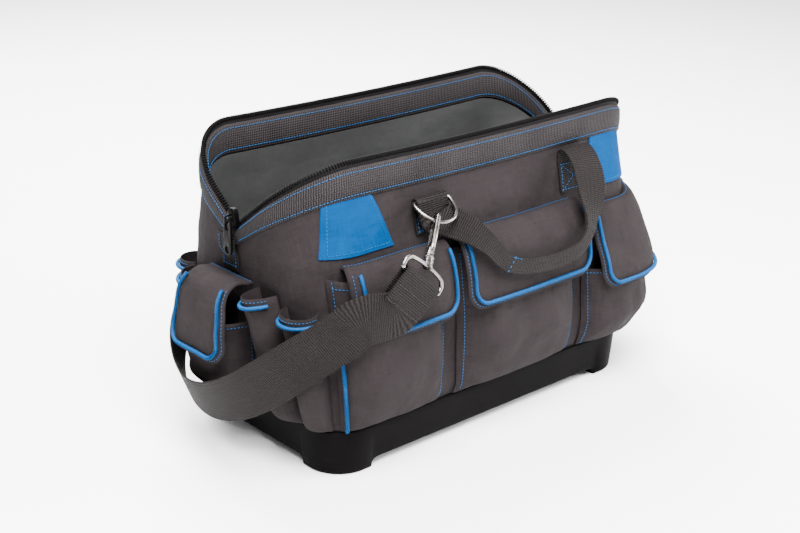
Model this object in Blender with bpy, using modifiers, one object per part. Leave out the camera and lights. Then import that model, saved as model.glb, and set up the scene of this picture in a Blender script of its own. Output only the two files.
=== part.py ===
"""Wide-mouth work bag: moulded base tub, fabric body, pockets, webbing handles and strap.

Metres, +Z up.  The bag stands on four corner feet, its length along X and its front towards -Y.
Places on the bag are given by a station, the distance along the tub's outline from the middle
of the front, by a height, and by how far they stand out from the fabric.
"""
import math

import bmesh
import bpy
import numpy as np
from mathutils import Matrix, Vector

GAP = 0.0003
SEAM_GAP = 0.0006

# Base tub
TUB_HALF_X = 0.206
TUB_HALF_Y = 0.114
TUB_RADIUS = 0.039
TUB_TOP = 0.046
TUB_WALL = 0.003
TUB_DRAFT = 0.0035
TUB_EDGE = 0.0015
FOOT_HEIGHT = 0.008
FOOT_RUN = 0.010
FOOT_ARCH = 0.008
FOOT_WIDTH = 0.018

# Fabric body and mouth
BODY_WALL = 0.0025
BODY_BULGE = 0.009
RIM_HALF_X = 0.223
RIM_HALF_Y = 0.0904
RIM_RADIUS = 0.056
BAR_Z = 0.2965
HINGE_Z = 0.2275
BAR_SAG = 0.002
HEM_HEIGHT = 0.028
HEM_HINGE_HEIGHT = 0.014
HEM_THICKNESS = 0.010
ZIP_HEIGHT = 0.007
ZIP_THICKNESS = 0.0026
PATCH_WALL = 0.0012
PATCH_START = 0.020
PATCH_TOP_WIDTH = 0.043
PATCH_FLARE = 0.018
PATCH_BOTTOM = 0.716

# Pockets, flaps, sleeves and piping
POCKET_WALL = 0.002
POCKET_BOTTOM = 0.0025
POCKET_FOOT_SHARE = 0.35
POCKET_RISE = 1.3
POCKET_SEAM_SHARE = 0.045
FLAP_WALL = 0.0025
FLAP_REST = 0.0012
FLAP_SEAT = 0.0015
FLAP_CORNER = 0.016
FLAP_EDGE_TURN = 0.16
PIPING_RADIUS = 0.0023
PIPING_INSET = 0.006
SLEEVE_WALL = 0.0018
SLEEVE_BAND = 0.007

# Webbing and metal fittings
WEB_WIDTH = 0.038
WEB_THICKNESS = 0.0024
GRIP_WIDTH = 0.0195
GRIP_THICKNESS = 0.005
STRAP_WIDTH = 0.050
STRAP_THICKNESS = 0.0022
STRAP_SWING = 0.070
STRAP_OVERLAP = 0.034
WIRE_RADIUS = 0.002
DRING_DEPTH = 0.029
DRING_TILT = math.radians(60)
HOOK_WIRE = 0.0026
HOOK_WIDTH = 0.020
HOOK_LENGTH = 0.048
HOOK_STUB = 0.020
POST_RADIUS = 0.0045
POST_LENGTH = 0.009
BOSS_LENGTH = 0.005
RING_DEPTH = 0.014
GATE_WIDTH = 0.0034
GATE_THICKNESS = 0.0038
SLIDER_SIZE = (0.007, 0.012, 0.016)
SLIDER_GRIP = 0.0015
BAIL_RADIUS = 0.001
BAIL_REACH = 0.0055
BAIL_SPAN = 0.0065
BAIL_FOOT = 0.0035
PULLER_LENGTH = 0.034
PULLER_WIDTH = 0.011
PULLER_THICKNESS = 0.0024
PULLER_EYE = (0.0055, 0.0085)
PULLER_HOLE = 0.0035
TAB_WIDTH = 0.025
TAB_DROP = 0.026

# Lengths along a quarter of the tub's outline
FRONT_RUN = TUB_HALF_X - TUB_RADIUS
ARC_RUN = math.pi / 2 * TUB_RADIUS
SIDE_RUN = TUB_HALF_Y - TUB_RADIUS
QUARTER = FRONT_RUN + ARC_RUN + SIDE_RUN
HALF = 2 * QUARTER
SEAT_TOP = TUB_TOP + GAP
FLOOR_TOP = FOOT_HEIGHT + TUB_WALL

# Fabric body from the tub up to the hem: height and the way from the base outline to the rim's
# outline as shares, and the bulge as a share of BODY_BULGE
SECTION_COLUMNS = ("height", "towards_rim", "bulge")
SECTION_ROWS = (
    (0.00, 0.00, 0.00),
    (0.06, 0.01, 0.80),
    (0.22, 0.08, 1.00),
    (0.45, 0.25, 0.95),
    (0.68, 0.50, 0.70),
    (0.86, 0.76, 0.30),
    (1.00, 1.00, 0.00),
)

# Pockets: the two seams as shares of a quarter of the outline, the depth in metres, and the
# mouth's height as a share of the bar's height
POCKET_COLUMNS = ("name", "start", "end", "depth", "mouth")
POCKET_ROWS = (
    ("pocket_front_left", -0.632, -0.262, 0.019, 0.660),
    ("pocket_front_middle", -0.191, 0.323, 0.023, 0.660),
    ("pocket_front_right", 0.388, 0.790, 0.022, 0.450),
    ("pocket_end_left", -1.190, -0.915, 0.042, 0.465),
    ("pocket_end_right", 0.930, 1.190, 0.042, 0.465),
    ("pocket_rear", 1.530, 2.470, 0.012, 0.620),
)

# Flaps: the pocket they close, their two side edges as shares of a quarter of the outline, the
# heights of the seam and the lower edge as shares of the bar's height, and how evenly they slope
FLAP_COLUMNS = ("name", "pocket", "start", "end", "seam", "lower_edge", "slope")
FLAP_ROWS = (
    ("flap_front_left", "pocket_front_left", -0.600, -0.246, 0.688, 0.478, 0.0),
    ("flap_front_middle", "pocket_front_middle", -0.211, 0.343, 0.697, 0.478, 0.0),
    ("flap_front_right", "pocket_front_right", 0.410, 0.740, 0.655, 0.390, 0.7),
    ("flap_end_left", "pocket_end_left", -1.200, -0.908, 0.585, 0.350, 0.2),
    ("flap_end_right", "pocket_end_right", 0.920, 1.200, 0.585, 0.350, 0.2),
)

# A flap's profile: how far out it stands as a share of its full reach, and how far down it has
# come as a share of its drop
FLAP_PROFILE_COLUMNS = ("reach", "drop")
FLAP_PROFILE_ROWS = (
    (0.00, 0.00),
    (0.20, -0.01),
    (0.52, -0.05),
    (0.82, 0.04),
    (0.97, 0.18),
    (1.00, 0.34),
    (1.01, 0.60),
    (1.00, 0.84),
    (0.98, 1.00),
)

# Tool sleeves: the seams as shares of a quarter of the outline, depth in metres and mouth height
# as a share of the bar's height
SLEEVE_COLUMNS = ("name", "start", "end", "depth", "mouth")
SLEEVE_ROWS = (
    ("sleeve_left_a", -0.866, -0.756, 0.026, 0.582),
    ("sleeve_left_b", -0.730, -0.660, 0.021, 0.556),
    ("sleeve_left_c", -1.318, -1.212, 0.019, 0.530),
    ("sleeve_left_d", -1.410, -1.338, 0.018, 0.530),
    ("sleeve_right_a", 0.815, 0.912, 0.024, 0.582),
)

# Handle: station as a share of a quarter, height above the seat of the patch as a share of the
# bar's height, distance out in web widths, the webbing's width direction (along, out, up), and
# how far it is folded into the grip
HANDLE_COLUMNS = ("station", "height", "out", "along", "outward", "up", "grip")
HANDLE_ROWS = (
    (-0.263, 0.8000, 0.195, 1.0, 0.0, 0.0, 0.0),
    (-0.258, 0.7780, 0.190, 1.0, 0.0, 0.1, 0.0),
    (-0.232, 0.7600, 0.300, 0.7, -0.4, 0.7, 0.0),
    (-0.192, 0.7350, 0.780, 0.3, -0.6, 1.0, 0.0),
    (-0.152, 0.6900, 1.080, 0.0, -0.4, 1.0, 0.2),
    (-0.105, 0.6350, 1.120, 0.0, 0.0, 1.0, 0.9),
    (-0.040, 0.6020, 1.100, 0.0, 0.0, 1.0, 1.0),
    (0.045, 0.5850, 1.100, 0.0, 0.0, 1.0, 1.0),
    (0.145, 0.5800, 1.100, 0.0, 0.0, 1.0, 1.0),
    (0.232, 0.5930, 1.100, 0.0, 0.0, 1.0, 1.0),
    (0.280, 0.6270, 1.080, -0.3, 0.0, 1.0, 1.0),
    (0.305, 0.6730, 1.060, -0.7, 0.1, 0.6, 0.6),
    (0.322, 0.7220, 1.000, -1.0, 0.1, 0.2, 0.1),
    (0.346, 0.7730, 0.860, -1.0, 0.0, 0.0, 0.0),
    (0.364, 0.8200, 0.680, -1.0, 0.0, 0.0, 0.0),
    (0.370, 0.8580, 0.460, -1.0, 0.0, 0.0, 0.0),
    (0.370, 0.8730, 0.250, -1.0, 0.0, 0.0, 0.0),
    (0.370, 0.8600, 0.100, -1.0, 0.0, 0.0, 0.0),
)
HANDLE_PATCH_BOTTOM = 0.727
HANDLE_PATCH_TOP = 0.826
HANDLE_LEFT_STATION = -0.264
HANDLE_RIGHT_STATION = 0.370

# Snap hooks: where on the D-ring's bow they hang, the direction they hang in and the direction
# of the strap's ring below them (each along, out, up)
HOOK_COLUMNS = ("side", "bow", "along", "outward", "up", "ring_along", "ring_outward", "ring_up")
HOOK_ROWS = (
    ("front", math.radians(125), -0.76, 0.62, -0.50, -0.66, 0.10, -0.74),
    ("rear", math.radians(100), 0.05, 0.55, -0.83, 0.30, 0.40, -0.85),
)

# Shoulder strap: station as a share of a quarter, height as a share of the bar's height, distance
# out as a share of STRAP_SWING, and the direction of its width (along, out, up)
STRAP_COLUMNS = ("station", "height", "out", "along", "outward", "up")
STRAP_ROWS = (
    (-0.523, 0.677, 0.63, -0.8, 0.0, 0.6),
    (-0.573, 0.634, 0.63, -0.7, 0.0, 0.7),
    (-0.628, 0.540, 0.57, -0.4, 0.0, 0.9),
    (-0.682, 0.445, 0.51, -0.2, 0.1, 1.0),
    (-0.738, 0.350, 0.56, 0.0, 0.3, 1.0),
    (-0.786, 0.303, 0.64, 0.0, 0.4, 1.0),
    (-0.853, 0.258, 0.73, 0.0, 0.4, 0.9),
    (-0.964, 0.200, 0.80, 0.0, 0.5, 0.9),
    (-1.081, 0.160, 0.80, 0.0, 0.5, 0.9),
    (-1.160, 0.190, 0.78, 0.0, 0.4, 0.9),
    (-1.220, 0.260, 0.60, 0.0, 0.3, 1.0),
    (-1.290, 0.330, 0.43, 0.0, 0.2, 1.0),
    (-1.400, 0.365, 0.39, 0.0, 0.1, 1.0),
    (-1.500, 0.370, 0.33, 0.0, 0.0, 1.0),
    (-1.620, 0.360, 0.34, 0.0, 0.0, 1.0),
    (-1.740, 0.370, 0.46, 0.1, 0.0, 1.0),
    (-1.860, 0.400, 0.62, 0.3, 0.0, 1.0),
    (-1.970, 0.440, 0.72, 0.4, 0.0, 0.9),
    (-2.080, 0.490, 0.74, 0.5, 0.0, 0.9),
    (-2.170, 0.540, 0.74, 0.5, 0.0, 0.9),
    (-2.230, 0.575, 0.74, 0.5, 0.0, 0.9),
)

# Colour, roughness and metallic value of each finish
FINISHES = {
    "tub_plastic": ((0.022, 0.022, 0.024), 0.42, 0.0),
    "body_fabric": ((0.052, 0.046, 0.047), 0.85, 0.0),
    "hem_webbing": ((0.035, 0.032, 0.034), 0.80, 0.0),
    "zip_tape": ((0.030, 0.028, 0.029), 0.75, 0.0),
    "blue_fabric": ((0.010, 0.190, 0.640), 0.70, 0.0),
    "blue_piping": ((0.008, 0.230, 0.760), 0.55, 0.0),
    "webbing": ((0.045, 0.040, 0.039), 0.78, 0.0),
    "nickel": ((0.640, 0.620, 0.600), 0.25, 1.0),
    "black_metal": ((0.020, 0.020, 0.021), 0.35, 0.6),
}


def clear_scene():
    for item in list(bpy.data.objects):
        bpy.data.objects.remove(item, do_unlink=True)


def finish(name):
    """The material of a finish, made once."""
    if name in bpy.data.materials:
        return bpy.data.materials[name]
    colour, roughness, metallic = FINISHES[name]
    material = bpy.data.materials.new(name)
    material.use_nodes = True
    shader = material.node_tree.nodes["Principled BSDF"]
    shader.inputs["Base Color"].default_value = (*colour, 1.0)
    shader.inputs["Roughness"].default_value = roughness
    shader.inputs["Metallic"].default_value = metallic
    return material


def collection(name):
    if name not in bpy.data.collections:
        made = bpy.data.collections.new(name)
        bpy.context.scene.collection.children.link(made)
    return bpy.data.collections[name]


def add_object(name, data, material):
    item = bpy.data.objects.new(name, data)
    data.materials.append(finish(material))
    collection("work_bag").objects.link(item)
    return item


def add_mesh(name, points, faces, material):
    mesh = bpy.data.meshes.new(name)
    mesh.from_pydata([tuple(point) for point in points], [], faces)
    work = bmesh.new()
    work.from_mesh(mesh)
    bmesh.ops.recalc_face_normals(work, faces=work.faces)
    work.to_mesh(mesh)
    work.free()
    mesh.shade_smooth()
    mesh.set_sharp_from_angle(angle=math.radians(40))
    return add_object(name, mesh, material)


def loft(name, rings, material):
    """A closed solid through rings of as many points each, capped at both ends."""
    count = len(rings[0])
    points = [point for ring in rings for point in ring]
    faces = [list(range(count)), list(range(len(points) - count, len(points)))]
    for row in range(len(rings) - 1):
        for step in range(count):
            following = (step + 1) % count
            low, high = row * count, (row + 1) * count
            faces.append([low + step, low + following, high + following, high + step])
    return add_mesh(name, points, faces, material)


def sheet(name, rows, wall, material):
    """An open surface through rows of points, given its wall outwards by Solidify."""
    count = len(rows[0])
    points = [point for row in rows for point in row]
    faces = []
    for row in range(len(rows) - 1):
        for step in range(count - 1):
            low, high = row * count + step, (row + 1) * count + step
            faces.append([low, low + 1, high + 1, high])
    mesh = bpy.data.meshes.new(name)
    mesh.from_pydata([tuple(point) for point in points], [], faces)
    mesh.shade_smooth()
    item = add_object(name, mesh, material)
    wall_modifier = item.modifiers.new("wall", "SOLIDIFY")
    wall_modifier.thickness = wall
    wall_modifier.offset = 1.0
    wall_modifier.use_even_offset = True
    return item


def tube(name, points, radius, material, closed=False, rounds=2):
    """A round wire or piping along a path."""
    curve = bpy.data.curves.new(name, "CURVE")
    curve.dimensions = "3D"
    curve.bevel_depth = radius
    curve.bevel_resolution = rounds
    curve.use_fill_caps = not closed
    spline = curve.splines.new("POLY")
    spline.points.add(len(points) - 1)
    for control, point in zip(spline.points, points):
        control.co = (*point, 1.0)
    spline.use_cyclic_u = closed
    return add_object(name, curve, material)


def as_mesh(curve_object):
    """The same object with its curve made a welded mesh."""
    name = curve_object.name
    shape = curve_object.evaluated_get(bpy.context.evaluated_depsgraph_get())
    mesh = bpy.data.meshes.new_from_object(shape)
    work = bmesh.new()
    work.from_mesh(mesh)
    bmesh.ops.remove_doubles(work, verts=work.verts, dist=0.00005)
    bmesh.ops.recalc_face_normals(work, faces=work.faces)
    work.to_mesh(mesh)
    work.free()
    matrix = curve_object.matrix_world.copy()
    material = curve_object.data.materials[0].name
    bpy.data.objects.remove(curve_object, do_unlink=True)
    mesh.materials.clear()
    item = add_object(name, mesh, material)
    item.matrix_world = matrix
    return item


def merge(target, helper, operation="UNION"):
    """Unite a helper solid with the target, or cut it away, and hide the helper."""
    helper.hide_render = True
    helper.display_type = "WIRE"
    for owner in list(helper.users_collection):
        owner.objects.unlink(helper)
    collection("cutters").objects.link(helper)
    modifier = target.modifiers.new(helper.name, "BOOLEAN")
    modifier.operation = operation
    modifier.object = helper
    return target


def cylinder(name, start, end, radius, material, sides=12):
    """A cylinder between two points."""
    start, end = Vector(start), Vector(end)
    bpy.ops.mesh.primitive_cylinder_add(vertices=sides, radius=radius, depth=(end - start).length)
    item = bpy.context.object
    item.name = name
    item.data.name = name
    item.data.materials.append(finish(material))
    turn = (end - start).to_track_quat("Z", "Y").to_matrix().to_4x4()
    item.matrix_world = Matrix.Translation((start + end) / 2) @ turn
    for owner in list(item.users_collection):
        owner.objects.unlink(item)
    collection("work_bag").objects.link(item)
    return item


def unit(vector):
    vector = np.asarray(vector, dtype=float)
    return vector / np.linalg.norm(vector)


def column(rows, columns, name):
    return np.array([row[columns.index(name)] for row in rows], dtype=float)


def smooth_path(rows, steps):
    """Points on a smooth curve through the rows, with steps points from each row to the next."""
    rows = np.asarray(rows, dtype=float)
    padded = np.vstack([2 * rows[0] - rows[1], rows, 2 * rows[-1] - rows[-2]])
    made = []
    for index in range(1, len(padded) - 2):
        before, start, end, after = padded[index - 1:index + 3]
        for step in range(steps):
            t = step / steps
            made.append(0.5 * (2 * start + (end - before) * t
                               + (2 * before - 5 * start + 4 * end - after) * t ** 2
                               + (3 * start - before - 3 * end + after) * t ** 3))
    made.append(rows[-1])
    return np.array(made)


def outline_point(station, half_x, half_y, radius):
    """The point and outward direction of a rounded rectangle at a station of the tub's outline."""
    station = (station + HALF) % (2 * HALF) - HALF
    side = 1.0 if station >= 0 else -1.0
    run = abs(station)
    face = -1.0
    if run > QUARTER:
        run = HALF - run
        face = 1.0
    if run <= FRONT_RUN:
        x, y, out_x, out_y = run / FRONT_RUN * (half_x - radius), half_y, 0.0, 1.0
    elif run <= FRONT_RUN + ARC_RUN:
        turn = (run - FRONT_RUN) / ARC_RUN * math.pi / 2
        out_x, out_y = math.sin(turn), math.cos(turn)
        x = half_x - radius + radius * out_x
        y = half_y - radius + radius * out_y
    else:
        share = (run - FRONT_RUN - ARC_RUN) / SIDE_RUN
        x, y, out_x, out_y = half_x, (half_y - radius) * (1 - share), 1.0, 0.0
    return np.array([side * x, face * y]), np.array([side * out_x, face * out_y])


def rim_share(station):
    """How far from the hinges to the bars a station of the rim lies, 0 to 1."""
    point, _ = outline_point(station, RIM_HALF_X, RIM_HALF_Y, RIM_RADIUS)
    return point, abs(point[1]) / RIM_HALF_Y


def rim_height(station):
    """The zip's top edge: it climbs from the hinges to the bars, which sag a little."""
    point, share = rim_share(station)
    sag = BAR_SAG * share * max(0.0, 1 - (point[0] / (RIM_HALF_X - RIM_RADIUS)) ** 2)
    return HINGE_Z + (BAR_Z - HINGE_Z) * share - sag


def hem_top(station):
    return rim_height(station) - ZIP_HEIGHT


def hem_bottom(station):
    _, share = rim_share(station)
    return hem_top(station) - HEM_HINGE_HEIGHT - (HEM_HEIGHT - HEM_HINGE_HEIGHT) * share


def body_point(station, height, out=0.0):
    """A point on the fabric's outer face, moved out square to the bag's outline."""
    share = (height - SEAT_TOP) / (hem_bottom(station) - GAP - SEAT_TOP)
    heights = column(SECTION_ROWS, SECTION_COLUMNS, "height")
    towards = np.interp(share, heights, column(SECTION_ROWS, SECTION_COLUMNS, "towards_rim"))
    bulge = np.interp(share, heights, column(SECTION_ROWS, SECTION_COLUMNS, "bulge")) * BODY_BULGE
    inset = TUB_WALL + GAP
    if height < SEAT_TOP:
        inset += TUB_DRAFT * (SEAT_TOP - height) / (SEAT_TOP - FLOOR_TOP)
    base = np.array([TUB_HALF_X, TUB_HALF_Y, TUB_RADIUS]) - inset
    rim = np.array([RIM_HALF_X + BODY_WALL / 2, RIM_HALF_Y + BODY_WALL / 2, RIM_RADIUS])
    half_x, half_y, radius = base + (rim - base) * towards + bulge
    point, outward = outline_point(station, half_x, half_y, radius)
    return np.array([*(point + outward * out), height])


def outward_at(station):
    _, outward = outline_point(station, TUB_HALF_X, TUB_HALF_Y, TUB_RADIUS)
    return np.array([*outward, 0.0])


def along_at(station):
    """The level direction in which stations count up."""
    outward = outward_at(station)
    return np.array([-outward[1], outward[0], 0.0])


def quarter_stations(front_steps, arc_steps, side_steps):
    front = [FRONT_RUN * step / front_steps for step in range(front_steps)]
    arc = [FRONT_RUN + ARC_RUN * step / arc_steps for step in range(arc_steps)]
    side = [FRONT_RUN + ARC_RUN + SIDE_RUN * step / side_steps for step in range(side_steps)]
    return front + arc + side


def full_ring(quarter):
    """A quarter's stations carried round the whole outline."""
    end = [QUARTER]
    first = quarter + end + [HALF - station for station in reversed(quarter[1:])]
    back = [HALF] + [-station for station in reversed(first[1:])]
    return first + back


def body_stations():
    """The quarter's stations that the fabric body and the mouth's strips are faceted at."""
    return quarter_stations(4, 5, 3)


def body_level(station, share):
    return SEAT_TOP + (hem_bottom(station) - SEAM_GAP - SEAT_TOP) * share


def foot_height(station):
    """The underside's height: at the ground under a corner, arched up between the feet."""
    run = abs((station + HALF) % (2 * HALF) - HALF)
    run = HALF - run if run > QUARTER else run
    past = max(FRONT_RUN - run, run - FRONT_RUN - ARC_RUN) - FOOT_RUN
    if past <= 0:
        return 0.0
    if past >= FOOT_ARCH:
        return FOOT_HEIGHT
    return FOOT_HEIGHT * math.sqrt(1 - (1 - past / FOOT_ARCH) ** 2)


def base_tub():
    """The moulded tub: drafted walls, a flat floor and a foot under each corner."""
    front = [0.0, FRONT_RUN / 2]
    front += [FRONT_RUN - FOOT_RUN - FOOT_ARCH * share for share in (1.0, 0.55, 0.2, 0.0)]
    arc = [FRONT_RUN + ARC_RUN * step / 5 for step in range(6)]
    side = [FRONT_RUN + ARC_RUN + FOOT_RUN + FOOT_ARCH * share for share in (0.0, 0.2, 0.55, 1.0)]
    stations = full_ring(front + arc + side)
    levels = (
        (FOOT_WIDTH + FOOT_ARCH, None, FOOT_HEIGHT),
        (FOOT_WIDTH, 0.0, 0.0),
        (TUB_DRAFT + 2 * TUB_EDGE, 0.0, 0.0),
        (TUB_DRAFT, 0.0, 2 * TUB_EDGE),
        (0.0, None, TUB_TOP - TUB_EDGE),
        (TUB_EDGE / 2, None, TUB_TOP),
        (TUB_WALL, None, TUB_TOP),
        (TUB_WALL + TUB_DRAFT, None, FLOOR_TOP),
    )
    rings = []
    for inset, arched, height in levels:
        ring = []
        for station in stations:
            size = np.array([TUB_HALF_X, TUB_HALF_Y, TUB_RADIUS]) - inset
            point, _ = outline_point(station, *size)
            lift = 0.0 if arched is None else foot_height(station)
            ring.append((*point, height + lift))
        rings.append(ring)
    return loft("base_tub", rings, "tub_plastic")


def body_shell():
    """The fabric body: outer and inner face lofted from the tub's floor up to the hem."""
    stations = full_ring(body_stations())
    floor = FLOOR_TOP + GAP
    rings = [[body_point(station, floor) for station in stations]]
    for share in column(SECTION_ROWS, SECTION_COLUMNS, "height"):
        rings.append([body_point(station, body_level(station, share)) for station in stations])
    for share in (1.0, 0.68, 0.22, 0.0):
        rings.append([body_point(station, body_level(station, share), -BODY_WALL)
                      for station in stations])
    rings.append([body_point(station, floor + BODY_WALL, -BODY_WALL) for station in stations])
    return loft("body_shell", rings, "body_fabric")


def rim_stations():
    """Stations of one half of the mouth, from the left hinge over the front to the right."""
    quarter = body_stations()
    near_hinge = QUARTER - 2 * GAP
    return [-near_hinge] + [-s for s in reversed(quarter[1:])] + quarter + [near_hinge]


def rim_strip(name, section, turn, material):
    """A strip along one half of the mouth; section gives (across, height) pairs at a station."""
    rings = []
    for station in rim_stations():
        point, outward = outline_point(station, RIM_HALF_X, RIM_HALF_Y, RIM_RADIUS)
        ring = []
        for across, height in section(station):
            place = point + outward * across
            ring.append((turn * place[0], turn * place[1], height))
        rings.append(ring)
    return loft(name, rings, material)


def hem_section(station):
    half, top, bottom = HEM_THICKNESS / 2, hem_top(station), hem_bottom(station)
    return ((-half * 0.6, bottom), (-half, top - half), (-half * 0.5, top),
            (half * 0.5, top), (half, top - half), (half * 0.6, bottom))


def zip_section(station):
    half, low = ZIP_THICKNESS / 2, hem_top(station) + SEAM_GAP
    high = rim_height(station)
    return ((-half, low), (-half, high), (half, high), (half, low))


def mouth():
    """Woven hems round the two halves of the mouth, with the zip's tapes on top."""
    for side, turn in (("front", 1), ("rear", -1)):
        rim_strip("rim_" + side, hem_section, turn, "hem_webbing")
        rim_strip("zip_tape_" + side, zip_section, turn, "zip_tape")


def corner_patches():
    """Blue fabric at the upper corners of the front and rear faces."""
    places = (("front_left", -1, 0.0), ("front_right", 1, 0.0),
              ("rear_left", 1, HALF), ("rear_right", -1, HALF))
    bottom = PATCH_BOTTOM * BAR_Z
    for name, side, turn in places:
        flare = PATCH_FLARE if side < 0 else PATCH_FLARE / 2
        rows = []
        for down in np.linspace(0.0, 1.0, 4):
            inner = FRONT_RUN + PATCH_START - PATCH_TOP_WIDTH - flare * down
            row = []
            for across in np.linspace(0.0, 1.0, 7):
                run = inner + (FRONT_RUN + PATCH_START - inner) * across
                station = side * run + turn
                top = hem_bottom(station) - 3 * GAP
                height = top + (bottom - top) * down
                row.append(body_point(station, height, SEAM_GAP))
            rows.insert(0, row if side > 0 else row[::-1])
        sheet("corner_patch_" + name, rows, PATCH_WALL, "blue_fabric")


def pocket_depth(across, up, depth):
    """How far a pocket stands out: boxy across, full a little above its bottom seam."""
    side = 1 - abs(2 * across - 1) ** 5
    rise = 0.0
    if up > 0:
        rise = min(1.0, POCKET_FOOT_SHARE + POCKET_RISE * math.sin(min(up, 1.0) * math.pi / 2))
    return SEAM_GAP + depth * side * rise * (1 - 0.10 * max(0.0, up - 0.5) * 2)


class Pouch:
    """A pouch sewn to the body along two seams and its bottom, open at the top."""

    def __init__(self, start, end, depth, mouth, wall, profile):
        self.start, self.end = start * QUARTER, end * QUARTER
        self.depth, self.wall, self.profile = depth, wall, profile
        self.bottom = SEAT_TOP + POCKET_BOTTOM
        self.mouth = mouth * BAR_Z

    def station(self, across):
        return self.start + (self.end - self.start) * across

    def point(self, across, up):
        height = self.bottom + (self.mouth - self.bottom) * up
        return body_point(self.station(across), height, self.profile(across, up, self.depth))

    def columns(self, steps):
        """Closer columns near the seams, moved onto the edges of the body's facets."""
        shares = [0.5 - 0.5 * math.cos(math.pi * step / steps) for step in range(steps + 1)]
        for station in full_ring(body_stations()):
            for turn in (-2 * HALF, 0.0, 2 * HALF):
                share = (station + turn - self.start) / (self.end - self.start)
                if 0 < share < 1:
                    nearest = min(range(1, steps), key=lambda step: abs(shares[step] - share))
                    shares[nearest] = share
        return shares

    def rows(self, steps):
        """Rows at the bottom seam, at the body's own folds and at the mouth."""
        shares = self.columns(steps)
        rows = [[self.point(across, 0.0) for across in shares]]
        for level in column(SECTION_ROWS, SECTION_COLUMNS, "height")[1:]:
            ups = [self.share_up(self.station(across), level) for across in shares]
            if max(ups) < 0.9:
                rows.append([self.point(across, up) for across, up in zip(shares, ups)])
        rows.append([self.point(across, 1.0) for across in shares])
        return rows

    def share_up(self, station, level):
        return (body_level(station, level) - self.bottom) / (self.mouth - self.bottom)

    def outer(self, across, up, extra):
        """A point that stands out from the pouch's outer face."""
        step = 0.004
        here = self.point(across, up)
        side = self.point(across + step, up) - self.point(across - step, up)
        rise = self.point(across, up) - self.point(across, up - step)
        return here + unit(np.cross(side, rise)) * (self.wall + extra)


def pockets():
    made = {}
    for name, start, end, depth, mouth in POCKET_ROWS:
        pouch = Pouch(start, end, depth, mouth, POCKET_WALL, pocket_depth)
        sheet(name, pouch.rows(10), POCKET_WALL, "body_fabric")
        made[name] = pouch
    return made


def sleeve_depth(across, up, depth):
    """Half round across, narrowing towards the bottom seam."""
    side = math.sqrt(max(0.0, 1 - (2 * across - 1) ** 2))
    rise = 0.0 if up <= 0 else min(1.0, 0.45 + 0.55 * min(up, 1.0) ** 0.6)
    return SEAM_GAP + depth * side * rise


def piping(name, points):
    tube(name, points, PIPING_RADIUS, "blue_piping", rounds=1)


def sleeves():
    """Round sleeves for long tools, each with piping round its mouth."""
    for name, start, end, depth, mouth in SLEEVE_ROWS:
        pouch = Pouch(start, end, depth, mouth, SLEEVE_WALL, sleeve_depth)
        sheet(name, pouch.rows(6), SLEEVE_WALL, "body_fabric")
        up = 1 - SLEEVE_BAND / (pouch.mouth - pouch.bottom)
        shares = [0.5 - 0.44 * math.cos(math.pi * step / 8) for step in range(9)]
        piping(name + "_piping", [pouch.outer(share, up, GAP * 2 + PIPING_RADIUS) for share in shares])


class Flap:
    """A flap sewn above a pocket's mouth, folded over it and hanging in front."""

    def __init__(self, pouch, start, end, seam, lower_edge, slope):
        self.top = seam * BAR_Z
        self.drop = self.top - lower_edge * BAR_Z
        self.reach = pouch.depth + pouch.wall + FLAP_REST
        self.centre = (start + end) / 2 * QUARTER
        self.half = (end - start) / 2 * QUARTER
        profile = np.array(FLAP_PROFILE_ROWS)
        profile[:, 1] -= np.minimum(0.0, profile[:, 1]) * min(1.0, 2 * slope)
        profile[:, 0] += (np.minimum(1.0, 1.3 * profile[:, 1]) - profile[:, 0]) * slope
        runs = np.hypot(np.diff(profile[:, 0]) * self.reach, np.diff(profile[:, 1]) * self.drop)
        self.runs = np.concatenate([[0.0], np.cumsum(runs)])
        self.profile = profile

    def half_width(self, run):
        """Half the flap's width, less in the rounded lower corners."""
        left = self.runs[-1] - run
        if left >= FLAP_CORNER:
            return self.half
        rise = FLAP_CORNER - left
        return self.half - FLAP_CORNER + math.sqrt(max(0.0, FLAP_CORNER ** 2 - rise ** 2))

    def point(self, offset, run):
        """The inner face at a distance from the middle and a run from the seam."""
        reach = np.interp(run, self.runs, self.profile[:, 0]) * self.reach
        drop = np.interp(run, self.runs, self.profile[:, 1]) * self.drop
        side = abs(offset) / self.half
        turned = 1 - FLAP_EDGE_TURN * side ** 6
        height = self.top - drop
        return body_point(self.centre + offset, height, FLAP_SEAT + reach * turned)

    def outer(self, offset, run, extra):
        step = 0.002
        along = self.point(offset + step, run) - self.point(offset - step, run)
        low, high = max(0.0, run - step), min(self.runs[-1], run + step)
        down = self.point(offset, high) - self.point(offset, low)
        return self.point(offset, run) + unit(np.cross(down, along)) * (FLAP_WALL + extra)


def flaps(pouches):
    """Flaps with blue piping set in from their edge."""
    for name, pocket, *sizes in FLAP_ROWS:
        flap = Flap(pouches[pocket], *sizes)
        total = flap.runs[-1]
        runs = [run for run in flap.runs if run < total - 1.1 * FLAP_CORNER]
        runs += [total - FLAP_CORNER * share for share in (1.0, 0.5, 0.14, 0.0)]
        rows = []
        for run in runs:
            half = flap.half_width(run)
            rows.insert(0, [flap.point(half * share, run) for share in np.linspace(-1.0, 1.0, 9)])
        sheet(name, rows, FLAP_WALL, "body_fabric")
        piping(name + "_piping", flap_piping_path(flap))


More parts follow.
